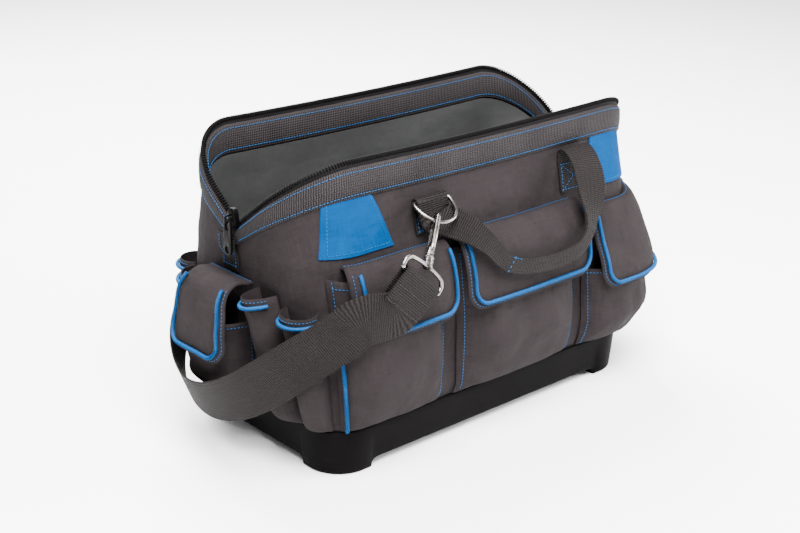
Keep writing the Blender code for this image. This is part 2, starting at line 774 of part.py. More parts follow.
def flap_piping_path(flap):
    """Down one side, round the corner, along the lower edge and up the other side."""
    lower = flap.runs[-1] - PIPING_INSET
    side = flap.half - PIPING_INSET
    corner = FLAP_CORNER - PIPING_INSET * 0.4
    start = flap.runs[3]
    left = [(-side, run) for run in np.linspace(start, lower - corner, 5)]
    for step in range(1, 4):
        turn = math.pi / 2 * step / 3
        left.append((-side + corner * (1 - math.cos(turn)), lower - corner * (1 - math.sin(turn))))
    middle = [(flap.half * share, lower) for share in (-0.5, -0.25, 0.0, 0.25, 0.5)]
    right = [(-offset, run) for offset, run in reversed(left)]
    extra = GAP * 2 + PIPING_RADIUS
    return [flap.outer(offset, run, extra) for offset, run in left + middle + right]


def pocket_trims(pouches):
    """Piping down the front left pocket's outer seam and along the rear pocket's mouth."""
    extra = GAP * 2 + PIPING_RADIUS
    front = pouches["pocket_front_left"]
    points = [front.outer(POCKET_SEAM_SHARE, up, extra) for up in np.linspace(0.03, 0.62, 9)]
    piping("pocket_front_left_piping", points)
    rear = pouches["pocket_rear"]
    up = 1 - SLEEVE_BAND / (rear.mouth - rear.bottom)
    shares = np.linspace(0.06, 0.94, 13)
    piping("pocket_rear_piping", [rear.outer(share, up, extra) for share in shares])


def ribbon(name, centres, widths, spans, walls, material):
    """A flat strip along centres; widths are directions, spans and walls its two sizes."""
    rings = []
    for index, centre in enumerate(centres):
        before = centres[max(0, index - 1)]
        after = centres[min(len(centres) - 1, index + 1)]
        forward = unit(after - before)
        across = widths[index] - forward * np.dot(widths[index], forward)
        across = unit(across) * spans[index] / 2
        thick = unit(np.cross(forward, across)) * walls[index] / 2
        rings.append([centre - across - thick, centre + across - thick,
                      centre + across + thick, centre - across + thick])
    return loft(name, rings, material)


def directed(station, along, outward, up):
    return along_at(station) * along + outward_at(station) * outward + np.array([0.0, 0.0, up])


def bar_place(turn):
    """The middle of the D-ring's bar, in the fold at the top of the handle's left end."""
    station = HANDLE_LEFT_STATION * QUARTER + turn
    out = SEAM_GAP + WEB_THICKNESS + GAP + WIRE_RADIUS
    return station, body_point(station, HANDLE_PATCH_TOP * BAR_Z, out)


def handle(name, turn):
    """One length of webbing: sewn patch, fold over the D-ring's bar, folded grip, sewn patch."""
    station, bar = bar_place(turn)
    outward, along = outward_at(station), along_at(station)
    lie = SEAM_GAP + WEB_THICKNESS / 2
    bottom = HANDLE_PATCH_BOTTOM * BAR_Z
    fold_radius = WIRE_RADIUS + GAP + WEB_THICKNESS / 2
    rows = []
    for share in (0.0, 0.5):
        height = bottom + (bar[2] - bottom) * share
        rows.append((body_point(station, height, lie), along, 0.0))
    for step in range(7):
        turned = math.pi * step / 6
        centre = bar - outward * fold_radius * math.cos(turned)
        centre = centre + np.array([0.0, 0.0, fold_radius * math.sin(turned)])
        rows.append((centre, along, 0.0))
    free = np.array(HANDLE_ROWS)
    free = smooth_path(free, 2)
    for share, height, out, lengthways, outwards, up, grip in free:
        place = share * QUARTER + turn
        centre = body_point(place, height * BAR_Z, out * WEB_WIDTH)
        rows.append((centre, directed(place, lengthways, outwards, up), grip))
    last = HANDLE_RIGHT_STATION * QUARTER + turn
    top = HANDLE_PATCH_TOP * BAR_Z
    for share in (1.0, 0.5, 0.0):
        height = bottom + (top - bottom) * share
        rows.append((body_point(last, height, lie), -along_at(last), 0.0))
    centres = np.array([row[0] for row in rows])
    widths = [row[1] for row in rows]
    grips = np.clip(np.array([row[2] for row in rows]), 0.0, 1.0)
    spans = WEB_WIDTH + (GRIP_WIDTH - WEB_WIDTH) * grips
    walls = WEB_THICKNESS + (GRIP_THICKNESS - WEB_THICKNESS) * grips
    return ribbon(name, centres, widths, spans, walls, "webbing")


def dring_point(turn, turned):
    """The centre of the D-ring's wire on its bow, from 0 at one end of the bar to pi."""
    station, bar = bar_place(turn)
    hang = outward_at(station) * math.sin(DRING_TILT) - np.array([0.0, 0.0, math.cos(DRING_TILT)])
    half = WEB_WIDTH / 2 + 2 * GAP + WIRE_RADIUS
    reach = DRING_DEPTH * math.sin(turned) ** 0.8
    return bar + along_at(station) * half * math.cos(turned) + hang * reach


def dring(name, turn):
    """A D-shaped ring: its straight bar in the handle's fold, its bow hanging outwards."""
    _, bar = bar_place(turn)
    ends = [dring_point(turn, turned) for turned in (math.pi, 0.0)]
    points = [bar + (end - bar) * 0.85 for end in ends]
    points += [dring_point(turn, math.pi * step / 12) for step in range(13)]
    return tube(name, points, WIRE_RADIUS, "nickel", closed=True)


class HookFrame:
    """The axes of a snap hook: down along its length, across between its two sides."""

    def __init__(self, turn, bow, hang, ring_hang):
        station, _ = bar_place(turn)
        self.origin = dring_point(turn, bow)
        tangent = dring_point(turn, bow + 0.1) - dring_point(turn, bow - 0.1)
        self.down = unit(directed(station, *hang))
        self.normal = unit(tangent - self.down * np.dot(tangent, self.down))
        self.across = np.cross(self.normal, self.down)
        self.ring_down = unit(directed(station, *ring_hang))

    def place(self, across, down):
        return self.origin + self.across * across + self.down * down


def hook_sizes():
    """Half the width between wire centres, and the places along the hook's length."""
    half = HOOK_WIDTH / 2 - HOOK_WIRE
    top = -(WIRE_RADIUS + HOOK_WIRE + 2 * GAP)
    return half, top, top + HOOK_LENGTH, top + HOOK_LENGTH + POST_LENGTH


def hook_body(name, frame, closed):
    """A hook of round wire with the swivel's post; open at one side unless it is closed."""
    half, top, low, post_end = hook_sizes()
    centre = top + half
    points = [] if closed else [(-half, centre + HOOK_WIRE)]
    points += [(-half * math.cos(t), centre - half * math.sin(t)) for t in np.linspace(0, math.pi, 9)]
    points += [(half, low - HOOK_STUB), (half * 0.75, low - HOOK_STUB / 3), (0.0, low)]
    points += [(-half * 0.75, low - HOOK_STUB / 3), (-half, low - HOOK_STUB * 0.6)]
    wire = as_mesh(tube(name, [frame.place(*point) for point in points], HOOK_WIRE, "nickel", closed))
    start, end = frame.place(0.0, low - HOOK_WIRE / 2), frame.place(0.0, post_end)
    return merge(wire, cylinder(name + "_post", start, end, POST_RADIUS, "nickel"))


def hook_gate(frame):
    """The sprung gate that closes the front hook, above the hook's stub."""
    half, top, low, _ = hook_sizes()
    first = top + half + HOOK_WIRE + 3 * GAP
    last = low - HOOK_STUB * 0.6 - 3 * GAP
    corners = []
    for down in (first, last):
        for side, thick in ((-1, -1), (1, -1), (1, 1), (-1, 1)):
            place = frame.place(-half + side * GATE_WIDTH / 2, down)
            corners.append(place + frame.normal * thick * GATE_THICKNESS / 2)
    loft("hook_gate", [corners[:4], corners[4:]], "nickel")


def strap_ring(name, frame, width):
    """A wire ring for the strap with the swivel's boss; width is the direction of its bar."""
    _, _, _, post_end = hook_sizes()
    start = frame.place(0.0, post_end + GAP)
    top = frame.place(0.0, post_end + GAP + BOSS_LENGTH)
    hang = frame.ring_down
    across = unit(width - hang * np.dot(width, hang))
    half = STRAP_WIDTH / 2 + 4 * GAP + WIRE_RADIUS
    shape = ((0.0, 0.0), (0.45, 0.03), (0.85, 0.15), (1.0, 0.5), (1.0, 0.88), (0.98, 1.0), (0.0, 1.0),
             (-0.98, 1.0), (-1.0, 0.88), (-1.0, 0.5), (-0.85, 0.15), (-0.45, 0.03))
    base = top - frame.down * WIRE_RADIUS
    points = [base + across * half * share + hang * RING_DEPTH * drop for share, drop in shape]
    wire = as_mesh(tube(name, points, WIRE_RADIUS, "nickel", closed=True, rounds=1))
    boss = cylinder(name + "_boss", start, top, POST_RADIUS, "nickel")
    merge(wire, boss)
    return base + hang * RING_DEPTH, across


def strap_centres():
    rows = smooth_path(STRAP_ROWS, 2)
    centres, widths = [], []
    for share, height, out, along, outward, up in rows:
        station = share * QUARTER
        centres.append(body_point(station, height * BAR_Z, out * STRAP_SWING))
        widths.append(directed(station, along, outward, up))
    return np.array(centres), widths


def end_loop(bar, across, towards):
    """The strap's end folded round a ring's bar, its tail sewn to the inner face."""
    radius = WIRE_RADIUS + GAP + STRAP_THICKNESS / 2
    inward = unit(towards - across * np.dot(towards, across))
    normal = unit(np.cross(inward, across))
    if np.dot(normal[:2], bar[:2]) > 0:
        normal = -normal
    turns = [math.pi * step / 6 for step in range(7)]
    loop = [bar - inward * radius * math.sin(t) + normal * radius * math.cos(t) for t in turns]
    tail = [loop[0] + inward * STRAP_OVERLAP * share for share in (1.0, 0.5)]
    run = [loop[-1] + inward * STRAP_OVERLAP * share for share in (0.5, 1.1)]
    points = tail + loop + run
    return points, [across] * len(points)


def shoulder_strap(front, rear):
    """One flat strap from the front ring round the left end to the rear ring."""
    centres, widths = strap_centres()
    clear = STRAP_OVERLAP * 1.7
    middle = [index for index, centre in enumerate(centres)
              if min(np.linalg.norm(centre - front[0]), np.linalg.norm(centre - rear[0])) > clear]
    first, first_ways = end_loop(*front, centres[middle[0]] - front[0])
    last, last_ways = end_loop(*rear, centres[middle[-1]] - rear[0])
    path = first + [centres[index] for index in middle] + last[::-1]
    ways = first_ways + [widths[index] for index in middle] + last_ways
    spans = np.full(len(path), STRAP_WIDTH)
    walls = np.full(len(path), STRAP_THICKNESS)
    return ribbon("shoulder_strap", np.array(path), ways, spans, walls, "webbing")


def strap_and_hooks():
    """A snap hook and a ring at each D-ring, and the strap between the two rings."""
    _, widths = strap_centres()
    bars = []
    for side, turn, width in (("front", 0.0, widths[0]), ("rear", HALF, widths[-1])):
        row = next(row for row in HOOK_ROWS if row[0] == side)
        frame = HookFrame(turn, row[1], row[2:5], row[5:8])
        hook_body("snap_hook_" + side, frame, closed=side == "rear")
        if side == "front":
            hook_gate(frame)
        bars.append(strap_ring("strap_ring_" + side, frame, width))
    shoulder_strap(*bars)


def slider_place():
    """The slider's outer face and its lower end, on the tapes above the left hinge."""
    face = -(RIM_HALF_X + ZIP_THICKNESS / 2 + GAP + SLIDER_SIZE[0])
    return face, HINGE_Z - SLIDER_GRIP


def zip_slider():
    """The slider's body with a wire bail for the puller on its outer face."""
    face, low = slider_place()
    depth, width, height = SLIDER_SIZE
    bpy.ops.mesh.primitive_cube_add(size=1.0)
    item = bpy.context.object
    item.name = "zip_slider"
    item.data.name = item.name
    item.data.transform(Matrix.Diagonal((depth, width, height, 1.0)))
    item.data.materials.append(finish("black_metal"))
    item.location = (face + depth / 2, 0.0, low + height / 2)
    for owner in list(item.users_collection):
        owner.objects.unlink(item)
    collection("work_bag").objects.link(item)
    bevel = item.modifiers.new("edges", "BEVEL")
    bevel.width = width / 8
    bevel.segments = 1
    foot = low + BAIL_FOOT
    shape = ((0.3, 0.0), (-0.75, 0.0), (-1.0, 0.2), (-1.0, 0.8), (-0.75, 1.0), (0.3, 1.0))
    points = [(face + BAIL_REACH * out, 0.0, foot + BAIL_SPAN * up) for out, up in shape]
    bail = as_mesh(tube("zip_slider_bail", points, BAIL_RADIUS, "black_metal"))
    return merge(item, bail)


def puller_axis():
    face, low = slider_place()
    return np.array([face - BAIL_REACH / 2, 0.0, low + BAIL_FOOT + BAIL_SPAN * 0.42])


def zip_puller():
    """A flat puller hanging on the bail by the bar above its eye, with a round hole below."""
    axis = puller_axis()
    bpy.ops.mesh.primitive_cube_add(size=1.0)
    item = bpy.context.object
    item.name = "zip_puller"
    item.data.name = item.name
    bar = PULLER_THICKNESS / 2
    height = PULLER_LENGTH + bar
    item.data.transform(Matrix.Diagonal((PULLER_THICKNESS, PULLER_WIDTH, height, 1.0)))
    item.data.transform(Matrix.Translation((0.0, 0.0, bar - height / 2)))
    item.data.materials.append(finish("black_metal"))
    item.location = axis
    for owner in list(item.users_collection):
        owner.objects.unlink(item)
    collection("work_bag").objects.link(item)
    bevel = item.modifiers.new("edges", "BEVEL")
    bevel.width = PULLER_THICKNESS / 4
    bevel.segments = 1
    width, length = PULLER_EYE
    bpy.ops.mesh.primitive_cube_add(size=1.0)
    eye = bpy.context.object
    eye.name = "zip_puller_eye"
    eye.data.transform(Matrix.Diagonal((3 * PULLER_THICKNESS, width, length, 1.0)))
    eye.location = axis - np.array([0.0, 0.0, bar + length / 2])
    merge(item, eye, "DIFFERENCE")
    low = axis - np.array([0.0, 0.0, PULLER_LENGTH - PULLER_WIDTH / 2])
    through = np.array([3 * PULLER_THICKNESS, 0.0, 0.0])
    hole = cylinder("zip_puller_hole", low - through, low + through, PULLER_HOLE, "black_metal")
    return merge(item, hole, "DIFFERENCE")


def zip_tabs():
    """Webbing tabs sewn over the zip's ends, down from the hinges onto the fabric."""
    for name, side in (("left", -1), ("right", 1)):
        station = side * (QUARTER + SLIDER_SIZE[1] / 2 + TAB_WIDTH / 2 + 4 * GAP)
        lie = 3 * SEAM_GAP + WEB_THICKNESS / 2
        over = HEM_THICKNESS / 2 - BODY_WALL / 2 + lie
        low = hem_bottom(QUARTER)
        places = ((low + TAB_DROP / 3, over), (low - TAB_DROP / 6, over), (low - TAB_DROP / 2, lie),
                  (low - TAB_DROP, lie))
        centres = [body_point(station, height, out) for height, out in places]
        ways = [along_at(station)] * len(centres)
        spans, walls = [TAB_WIDTH] * len(centres), [WEB_THICKNESS] * len(centres)
        ribbon("zip_end_tab_" + name, np.array(centres), ways, spans, walls, "webbing")


def set_origin():
    """Hang everything on an empty so that the origin lies under the middle of the whole part."""
    bpy.context.view_layer.update()
    graph = bpy.context.evaluated_depsgraph_get()
    corners = []
    for item in collection("work_bag").objects:
        shape = item.evaluated_get(graph)
        mesh = shape.to_mesh()
        corners += [item.matrix_world @ vertex.co for vertex in mesh.vertices]
        shape.to_mesh_clear()
    corners = np.array(corners)
    middle = (corners.min(axis=0) + corners.max(axis=0)) / 2
    origin = bpy.data.objects.new("bag_origin", None)
    bpy.context.scene.collection.objects.link(origin)
    origin.location = (-middle[0], -middle[1], 0.0)
    for item in list(bpy.data.objects):
        if item is not origin:
            item.parent = origin
    bpy.context.view_layer.update()


def build():
    clear_scene()
    base_tub()
    body_shell()
    mouth()
    corner_patches()
    pouches = pockets()
    sleeves()
    flaps(pouches)
    pocket_trims(pouches)
    for side, turn in (("front", 0.0), ("rear", HALF)):
        handle("handle_" + side, turn)
        dring("dring_" + side, turn)
    strap_and_hooks()
    zip_slider()
    zip_puller()
    zip_tabs()
    set_origin()


build()
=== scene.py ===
import math

import bmesh
import bpy
import numpy as np
from mathutils import Matrix, Vector, noise


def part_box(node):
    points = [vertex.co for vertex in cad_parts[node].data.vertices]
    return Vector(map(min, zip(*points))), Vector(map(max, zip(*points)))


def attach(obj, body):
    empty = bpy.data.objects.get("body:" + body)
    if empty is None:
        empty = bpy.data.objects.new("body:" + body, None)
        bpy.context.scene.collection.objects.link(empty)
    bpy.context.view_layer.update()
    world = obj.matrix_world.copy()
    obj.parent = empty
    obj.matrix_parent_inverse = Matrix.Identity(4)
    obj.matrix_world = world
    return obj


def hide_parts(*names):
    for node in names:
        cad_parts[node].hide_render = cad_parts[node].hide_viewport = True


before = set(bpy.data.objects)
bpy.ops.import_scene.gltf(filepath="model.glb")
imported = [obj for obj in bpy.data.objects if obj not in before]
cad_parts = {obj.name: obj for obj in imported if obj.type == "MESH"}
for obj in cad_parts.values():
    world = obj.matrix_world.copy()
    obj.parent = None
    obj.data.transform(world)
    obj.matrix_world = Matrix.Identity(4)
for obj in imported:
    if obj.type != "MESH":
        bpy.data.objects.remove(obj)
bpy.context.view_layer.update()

# The moulded tub: one injection-moulded bowl of satin black plastic with drafted walls, a rounded
# lip and a foot under each corner, arched up between the feet.  Its outline, a rounded rectangle,
# is also what every station on the bag is counted along, from the middle of the front.
TUB = (0.206, 0.114, 0.039)
TUB_TOP, TUB_WALL, TUB_DRAFT, TUB_HEEL, TUB_LIP = 0.046, 0.003, 0.0035, 0.0035, 0.0018
FOOT_HEIGHT, FOOT_RUN, FOOT_ARCH, FOOT_WIDTH = 0.008, 0.010, 0.008, 0.018
FRONT_RUN = TUB[0] - TUB[2]
ARC_RUN = math.pi / 2 * TUB[2]
SIDE_RUN = TUB[1] - TUB[2]
QUARTER = FRONT_RUN + ARC_RUN + SIDE_RUN
HALF = 2 * QUARTER
tub_low, tub_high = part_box("base_tub")
CENTRE = np.array([(tub_low.x + tub_high.x) / 2, (tub_low.y + tub_high.y) / 2, 0.0])


def outline_point(station, half_x, half_y, radius):
    """The point and outward direction of a rounded rectangle at a station."""
    station = (station + HALF) % (2 * HALF) - HALF
    side = 1.0 if station >= 0 else -1.0
    run, face = abs(station), -1.0
    if run > QUARTER:
        run, face = HALF - run, 1.0
    if run <= FRONT_RUN:
        x, y, out_x, out_y = run / FRONT_RUN * (half_x - radius), half_y, 0.0, 1.0
    elif run <= FRONT_RUN + ARC_RUN:
        turn = (run - FRONT_RUN) / ARC_RUN * math.pi / 2
        out_x, out_y = math.sin(turn), math.cos(turn)
        x, y = half_x - radius + radius * out_x, half_y - radius + radius * out_y
    else:
        share = (run - FRONT_RUN - ARC_RUN) / SIDE_RUN
        x, y, out_x, out_y = half_x, (half_y - radius) * (1 - share), 1.0, 0.0
    return np.array([side * x, face * y]), np.array([side * out_x, face * out_y])


def outward_at(station):
    _, outward = outline_point(station, *TUB)
    return np.array([*outward, 0.0])


def along_at(station):
    outward = outward_at(station)
    return np.array([-outward[1], outward[0], 0.0])


def unit(vector):
    vector = np.asarray(vector, dtype=float)
    return vector / max(np.linalg.norm(vector), 1e-9)


def run_lengths(points):
    steps = np.linalg.norm(np.diff(points, axis=0), axis=1)
    return np.concatenate([[0.0], np.cumsum(steps)])


def make_object(name, points, faces, corners, material, smooth=60):
    """A mesh object with its threads' directions, in metres, as the UV map 'weave'."""
    mesh = bpy.data.meshes.new(name)
    mesh.from_pydata([tuple(point) for point in points], [], faces)
    layer = mesh.uv_layers.new(name="weave")
    layer.data.foreach_set("uv", np.array(corners, dtype=np.float32).ravel())
    work = bmesh.new()
    work.from_mesh(mesh)
    bmesh.ops.recalc_face_normals(work, faces=work.faces)
    work.to_mesh(mesh)
    work.free()
    mesh.shade_smooth()
    mesh.set_sharp_from_angle(angle=math.radians(smooth))
    mesh.materials.append(material)
    item = bpy.data.objects.new(name, mesh)
    bpy.context.scene.collection.objects.link(item)
    return item


def loft(name, rings, material, closed=False, smooth=60):
    """A solid through rings of as many points each, capped at its ends unless it is closed."""
    rings = np.asarray(rings, dtype=float)
    count, around = rings.shape[:2]
    along = run_lengths(rings.mean(axis=1))
    middle = rings[count // 2]
    across = run_lengths(np.vstack([middle, middle[:1]]))
    faces, corners = [], []
    for row in range(count if closed else count - 1):
        after = (row + 1) % count
        far = along[row + 1] if row + 1 < count else along[-1] + along[1]
        for step in range(around):
            following = (step + 1) % around
            faces.append([row * around + step, row * around + following,
                          after * around + following, after * around + step])
            corners += [(along[row], across[step]), (along[row], across[step + 1]),
                        (far, across[step + 1]), (far, across[step])]
    if not closed:
        for first in (0, (count - 1) * around):
            faces.append(list(range(first, first + around)))
            corners += [(0.0, across[step]) for step in range(around)]
    return make_object(name, rings.reshape(-1, 3), faces, corners, material, smooth)


class Shade:
    """One output of a shader node, which plain arithmetic combines into new nodes."""

    def __init__(self, tree, node=None, output=0):
        self.tree, self.from_node = tree, node
        self.socket = node.outputs[output] if node else None

    def make(self, kind, settings, inputs, output=0):
        node = self.tree.nodes.new(kind)
        for key, value in settings.items():
            setattr(node, key, value)
        for key, value in inputs.items():
            if isinstance(value, Shade):
                self.tree.links.new(value.socket, node.inputs[key])
            else:
                node.inputs[key].default_value = value
        return Shade(self.tree, node, output)

    def out(self, output):
        return Shade(self.tree, self.from_node, output)

    def maths(self, operation, *values):
        return self.make("ShaderNodeMath", {"operation": operation}, dict(enumerate(values)))

    def __add__(self, other):
        return self.maths("ADD", self, other)

    def __sub__(self, other):
        return self.maths("SUBTRACT", self, other)

    def __rsub__(self, other):
        return self.maths("SUBTRACT", other, self)

    def __mul__(self, other):
        return self.maths("MULTIPLY", self, other)

    __radd__ = __add__
    __rmul__ = __mul__

    def sine(self):
        return self.maths("SINE", self)

    def between(self, low, high):
        """Rises smoothly from 0 at low to 1 at high."""
        return self.make("ShaderNodeMapRange", {"interpolation_type": "SMOOTHSTEP"},
                         {0: self, 1: low, 2: high, 3: 0.0, 4: 1.0})

    def colours(self, first, second):
        """Goes from the first colour at 0 to the second at 1."""
        ends = [end if isinstance(end, Shade) else (*end, 1.0) for end in (first, second)]
        return self.make("ShaderNodeMix", {"data_type": "RGBA"}, {0: self, 6: ends[0], 7: ends[1]}, 2)

    def grain(self, along, across, up, scale, detail=2.0):
        place = self.make("ShaderNodeCombineXYZ", {}, {0: along, 1: across, 2: up})
        return self.make("ShaderNodeTexNoise", {}, {"Vector": place, "Scale": scale, "Detail": detail})


def material_start(name):
    made = bpy.data.materials.new(name)
    made.use_nodes = True
    return made, Shade(made.node_tree)


def material_end(made, colour, roughness, height, distance, metallic=0.0, shine=0.5):
    """Joins a colour, a roughness and a height to the material's one shader."""
    start = Shade(made.node_tree)
    shader = made.node_tree.nodes["Principled BSDF"]
    bump = start.make("ShaderNodeBump", {}, {"Height": height, "Distance": distance, "Strength": 1.0})
    made.node_tree.links.new(bump.socket, shader.inputs["Normal"])
    for key, value in (("Base Color", colour), ("Roughness", roughness)):
        if isinstance(value, Shade):
            made.node_tree.links.new(value.socket, shader.inputs[key])
        else:
            shader.inputs[key].default_value = (*value, 1.0) if key == "Base Color" else value
    shader.inputs["Metallic"].default_value = metallic
    shader.inputs["Specular IOR Level"].default_value = shine
    return made


def object_axes(start):
    place = start.make("ShaderNodeTexCoord", {}, {}, 3)
    parts = start.make("ShaderNodeSeparateXYZ", {}, {0: place})
    return parts, parts.out(1), parts.out(2)


def moulded_plastic():
    made, start = material_start("tub_plastic_look")
    x, y, z = object_axes(start)
    fine = start.grain(x, y, z, 1500.0)
    worn = start.grain(x, y, z, 24.0, 5.0)
    scuffs = start.grain(x * 0.3, y * 0.3, z * 3.0, 90.0, 4.0).between(0.60, 0.72)
    colour = (worn * 0.6 + scuffs * 0.4).colours((0.0012, 0.0010, 0.0011), (0.0040, 0.0035, 0.0037))
    return material_end(made, colour, worn * 0.22 + scuffs * 0.12 + 0.38, fine, 0.00010, shine=0.012)


def foot_height(station):
    """The underside's height: at the ground under a corner, arched up between the feet."""
    run = abs((station + HALF) % (2 * HALF) - HALF)
    run = HALF - run if run > QUARTER else run
    past = max(FRONT_RUN - run, run - FRONT_RUN - ARC_RUN) - FOOT_RUN
    share = min(1.0, max(0.0, past / FOOT_ARCH))
    return FOOT_HEIGHT * math.sqrt(1 - (1 - share) ** 2)


def tub_stations():
    """Round the whole outline, closer together over the arches and the corners."""
    quarter = list(np.linspace(0, FRONT_RUN - FOOT_RUN - FOOT_ARCH, 12, endpoint=False))
    quarter += list(FRONT_RUN - FOOT_RUN - FOOT_ARCH * np.linspace(1, 0, 12) ** 1.6)
    quarter += list(np.linspace(FRONT_RUN, FRONT_RUN + ARC_RUN, 22))
    quarter += list(FRONT_RUN + ARC_RUN + FOOT_RUN + FOOT_ARCH * np.linspace(0, 1, 12) ** 1.6)
    quarter += list(np.linspace(QUARTER - 0.03, QUARTER, 4, endpoint=False))
    first = quarter + [QUARTER] + [HALF - station for station in reversed(quarter[1:])]
    return first + [HALF] + [-station for station in reversed(first[1:])]


def tub_rings():
    levels = [(FOOT_WIDTH + FOOT_ARCH, 0, FOOT_HEIGHT), (FOOT_WIDTH + 0.001, 1, 0.0012),
              (FOOT_WIDTH - 0.001, 1, 0.0)]
    for turn in np.linspace(0, math.pi / 2, 6):
        levels.append((TUB_DRAFT + TUB_HEEL * (1 - math.sin(turn)), 1, TUB_HEEL * (1 - math.cos(turn))))
    for up in np.linspace(0.2, 1.0, 6):
        levels.append((TUB_DRAFT * (1 - up), 1 - up, TUB_HEEL + (TUB_TOP - TUB_HEEL - 0.002) * up))
    for turn in np.linspace(0.2, math.pi, 8):
        half = TUB_WALL / 2
        levels.append((half - half * math.cos(turn), 0, TUB_TOP - TUB_LIP + TUB_LIP * math.sin(turn)))
    levels.append((TUB_WALL + TUB_DRAFT, 0, FOOT_HEIGHT + TUB_WALL))
    rings = []
    for inset, arched, height in levels:
        ring = []
        for station in tub_stations():
            point, _ = outline_point(station, *(np.array(TUB) - inset))
            ring.append((*point, height + arched * foot_height(station)))
        rings.append(np.array(ring) + CENTRE)
    return rings


tub = loft("tub", tub_rings(), moulded_plastic(), smooth=50)
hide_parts("base_tub")
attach(tub, "bag")

# The fabric body: heavy charcoal polyester cloth, plain woven, cut as a wall sewn round a floor and
# set into the tub.  It bulges over the tub's lip, leans out to the mouth at the ends and is creased.
BODY_WALL, BULGE = 0.0025, 0.009
RIM = (0.223, 0.0904, 0.056)
BAR_Z, HINGE_Z, BAR_SAG = 0.2965, 0.2275, 0.002
HEM_HEIGHT, HEM_HINGE_HEIGHT, HEM_THICKNESS, ZIP_HEIGHT = 0.028, 0.014, 0.010, 0.007
SEAT_TOP, FLOOR_TOP = 0.0463, 0.011
CHARCOAL, CHARCOAL_LIGHT = (0.0052, 0.0040, 0.0043), (0.0215, 0.0172, 0.0181)


def rim_share(station):
    """How far from the hinges to the bars a station of the rim lies, 0 to 1."""
    point, _ = outline_point(station, *RIM)
    return point, abs(point[1]) / RIM[1]


def hem_top(station):
    point, share = rim_share(station)
    sag = BAR_SAG * share * max(0.0, 1 - (point[0] / (RIM[0] - RIM[2])) ** 2)
    return HINGE_Z + (BAR_Z - HINGE_Z) * share - sag - ZIP_HEIGHT


def hem_bottom(station):
    _, share = rim_share(station)
    return hem_top(station) - HEM_HINGE_HEIGHT - (HEM_HEIGHT - HEM_HINGE_HEIGHT) * share


def eased(values):
    """The wall's section at 101 heights, its corners rounded off."""
    dense = np.interp(np.linspace(-0.1, 1.1, 121), (0.00, 0.06, 0.22, 0.45, 0.68, 0.86, 1.00), values)
    window = np.hanning(13) / np.hanning(13).sum()
    soft = np.convolve(dense, window, "same")[10:111]
    soft[0], soft[-1] = values[0], values[-1]
    return soft


TOWARDS_RIM = eased((0.00, 0.01, 0.08, 0.25, 0.50, 0.76, 1.00))
BULGES = eased((0.00, 0.80, 1.00, 0.95, 0.70, 0.30, 0.00)) * BULGE


def crease(point, wide, high, seed):
    """Soft noise from -1 to 1, with creases as wide and as high as given."""
    across = (point[0] + point[1]) / wide
    return noise.noise(Vector((across, (point[0] - point[1]) / wide * 0.3 + seed, point[2] / high)))


def body_point(station, height, out=0.0, slack=0.0020):
    """A point on the fabric's outer face, moved out square to the bag's outline."""
    share = (height - SEAT_TOP) / (hem_bottom(station) - 0.0006 - SEAT_TOP)
    place = min(100.0, max(0.0, share * 100))
    low = min(99, int(place))
    part = place - low
    towards = TOWARDS_RIM[low] * (1 - part) + TOWARDS_RIM[low + 1] * part
    bulge = BULGES[low] * (1 - part) + BULGES[low + 1] * part
    inset = TUB_WALL + 0.0003 + TUB_DRAFT * max(0.0, (SEAT_TOP - height) / (SEAT_TOP - FLOOR_TOP))
    base = np.array(TUB) - inset
    rim = np.array([RIM[0] + BODY_WALL / 2, RIM[1] + BODY_WALL / 2, RIM[2]])
    point, outward = outline_point(station, *(base + (rim - base) * towards + bulge))
    made = np.array([*(point + outward * out), height]) + CENTRE
    if slack and share > 0:
        fade = min(1.0, share * 6) * min(1.0, max(0.0, 1 - share) * 5)
        end = abs(outward_at(station)[0])
        lift = slack * fade * (crease(made, 0.11, 0.05, 3.1) + 0.5 * crease(made, 0.05, 0.022, 8.7)
                               + end * crease(made, 0.045, 0.30, 12.4))
        made += outward_at(station) * lift
    return made


def woven(name, dark, light, thread, roughness, depth, shine=0.05, folds=0.0060):
    """Cloth: threads over and under each other, uneven in colour, worn and softly creased."""
    made, start = material_start(name)
    place = start.make("ShaderNodeUVMap", {"uv_map": "weave"}, {})
    parts = start.make("ShaderNodeSeparateXYZ", {}, {0: place})
    u, v = parts, parts.out(1)
    turns = 2 * math.pi / thread
    over = (u * turns).sine() * (v * turns).sine()
    warp = start.grain(u * 0.06, v, 0.0, 1.0 / thread)
    weft = start.grain(u, v * 0.06, 4.0, 1.0 / thread)
    patches = start.grain(u, v, 0.0, 28.0, 4.0)
    shade = over * 0.14 + warp * 0.32 + weft * 0.32 + patches * 0.30 + 0.03
    colour = shade.between(0.0, 1.0).colours(dark, light)
    rough = roughness + patches * 0.12 - 0.06
    x, y, z = object_axes(start)
    soft = start.grain(x, y, z * 1.7, 15.0, 3.0)
    sharp = start.grain(x * 1.4, y * 1.4, z * 0.8, 34.0, 2.0).between(0.42, 0.78)
    height = over * 0.6 + warp * 0.4 + weft * 0.4 + (soft + sharp * 0.22) * (folds / depth)
    return material_end(made, colour, rough, height, depth, shine=shine)


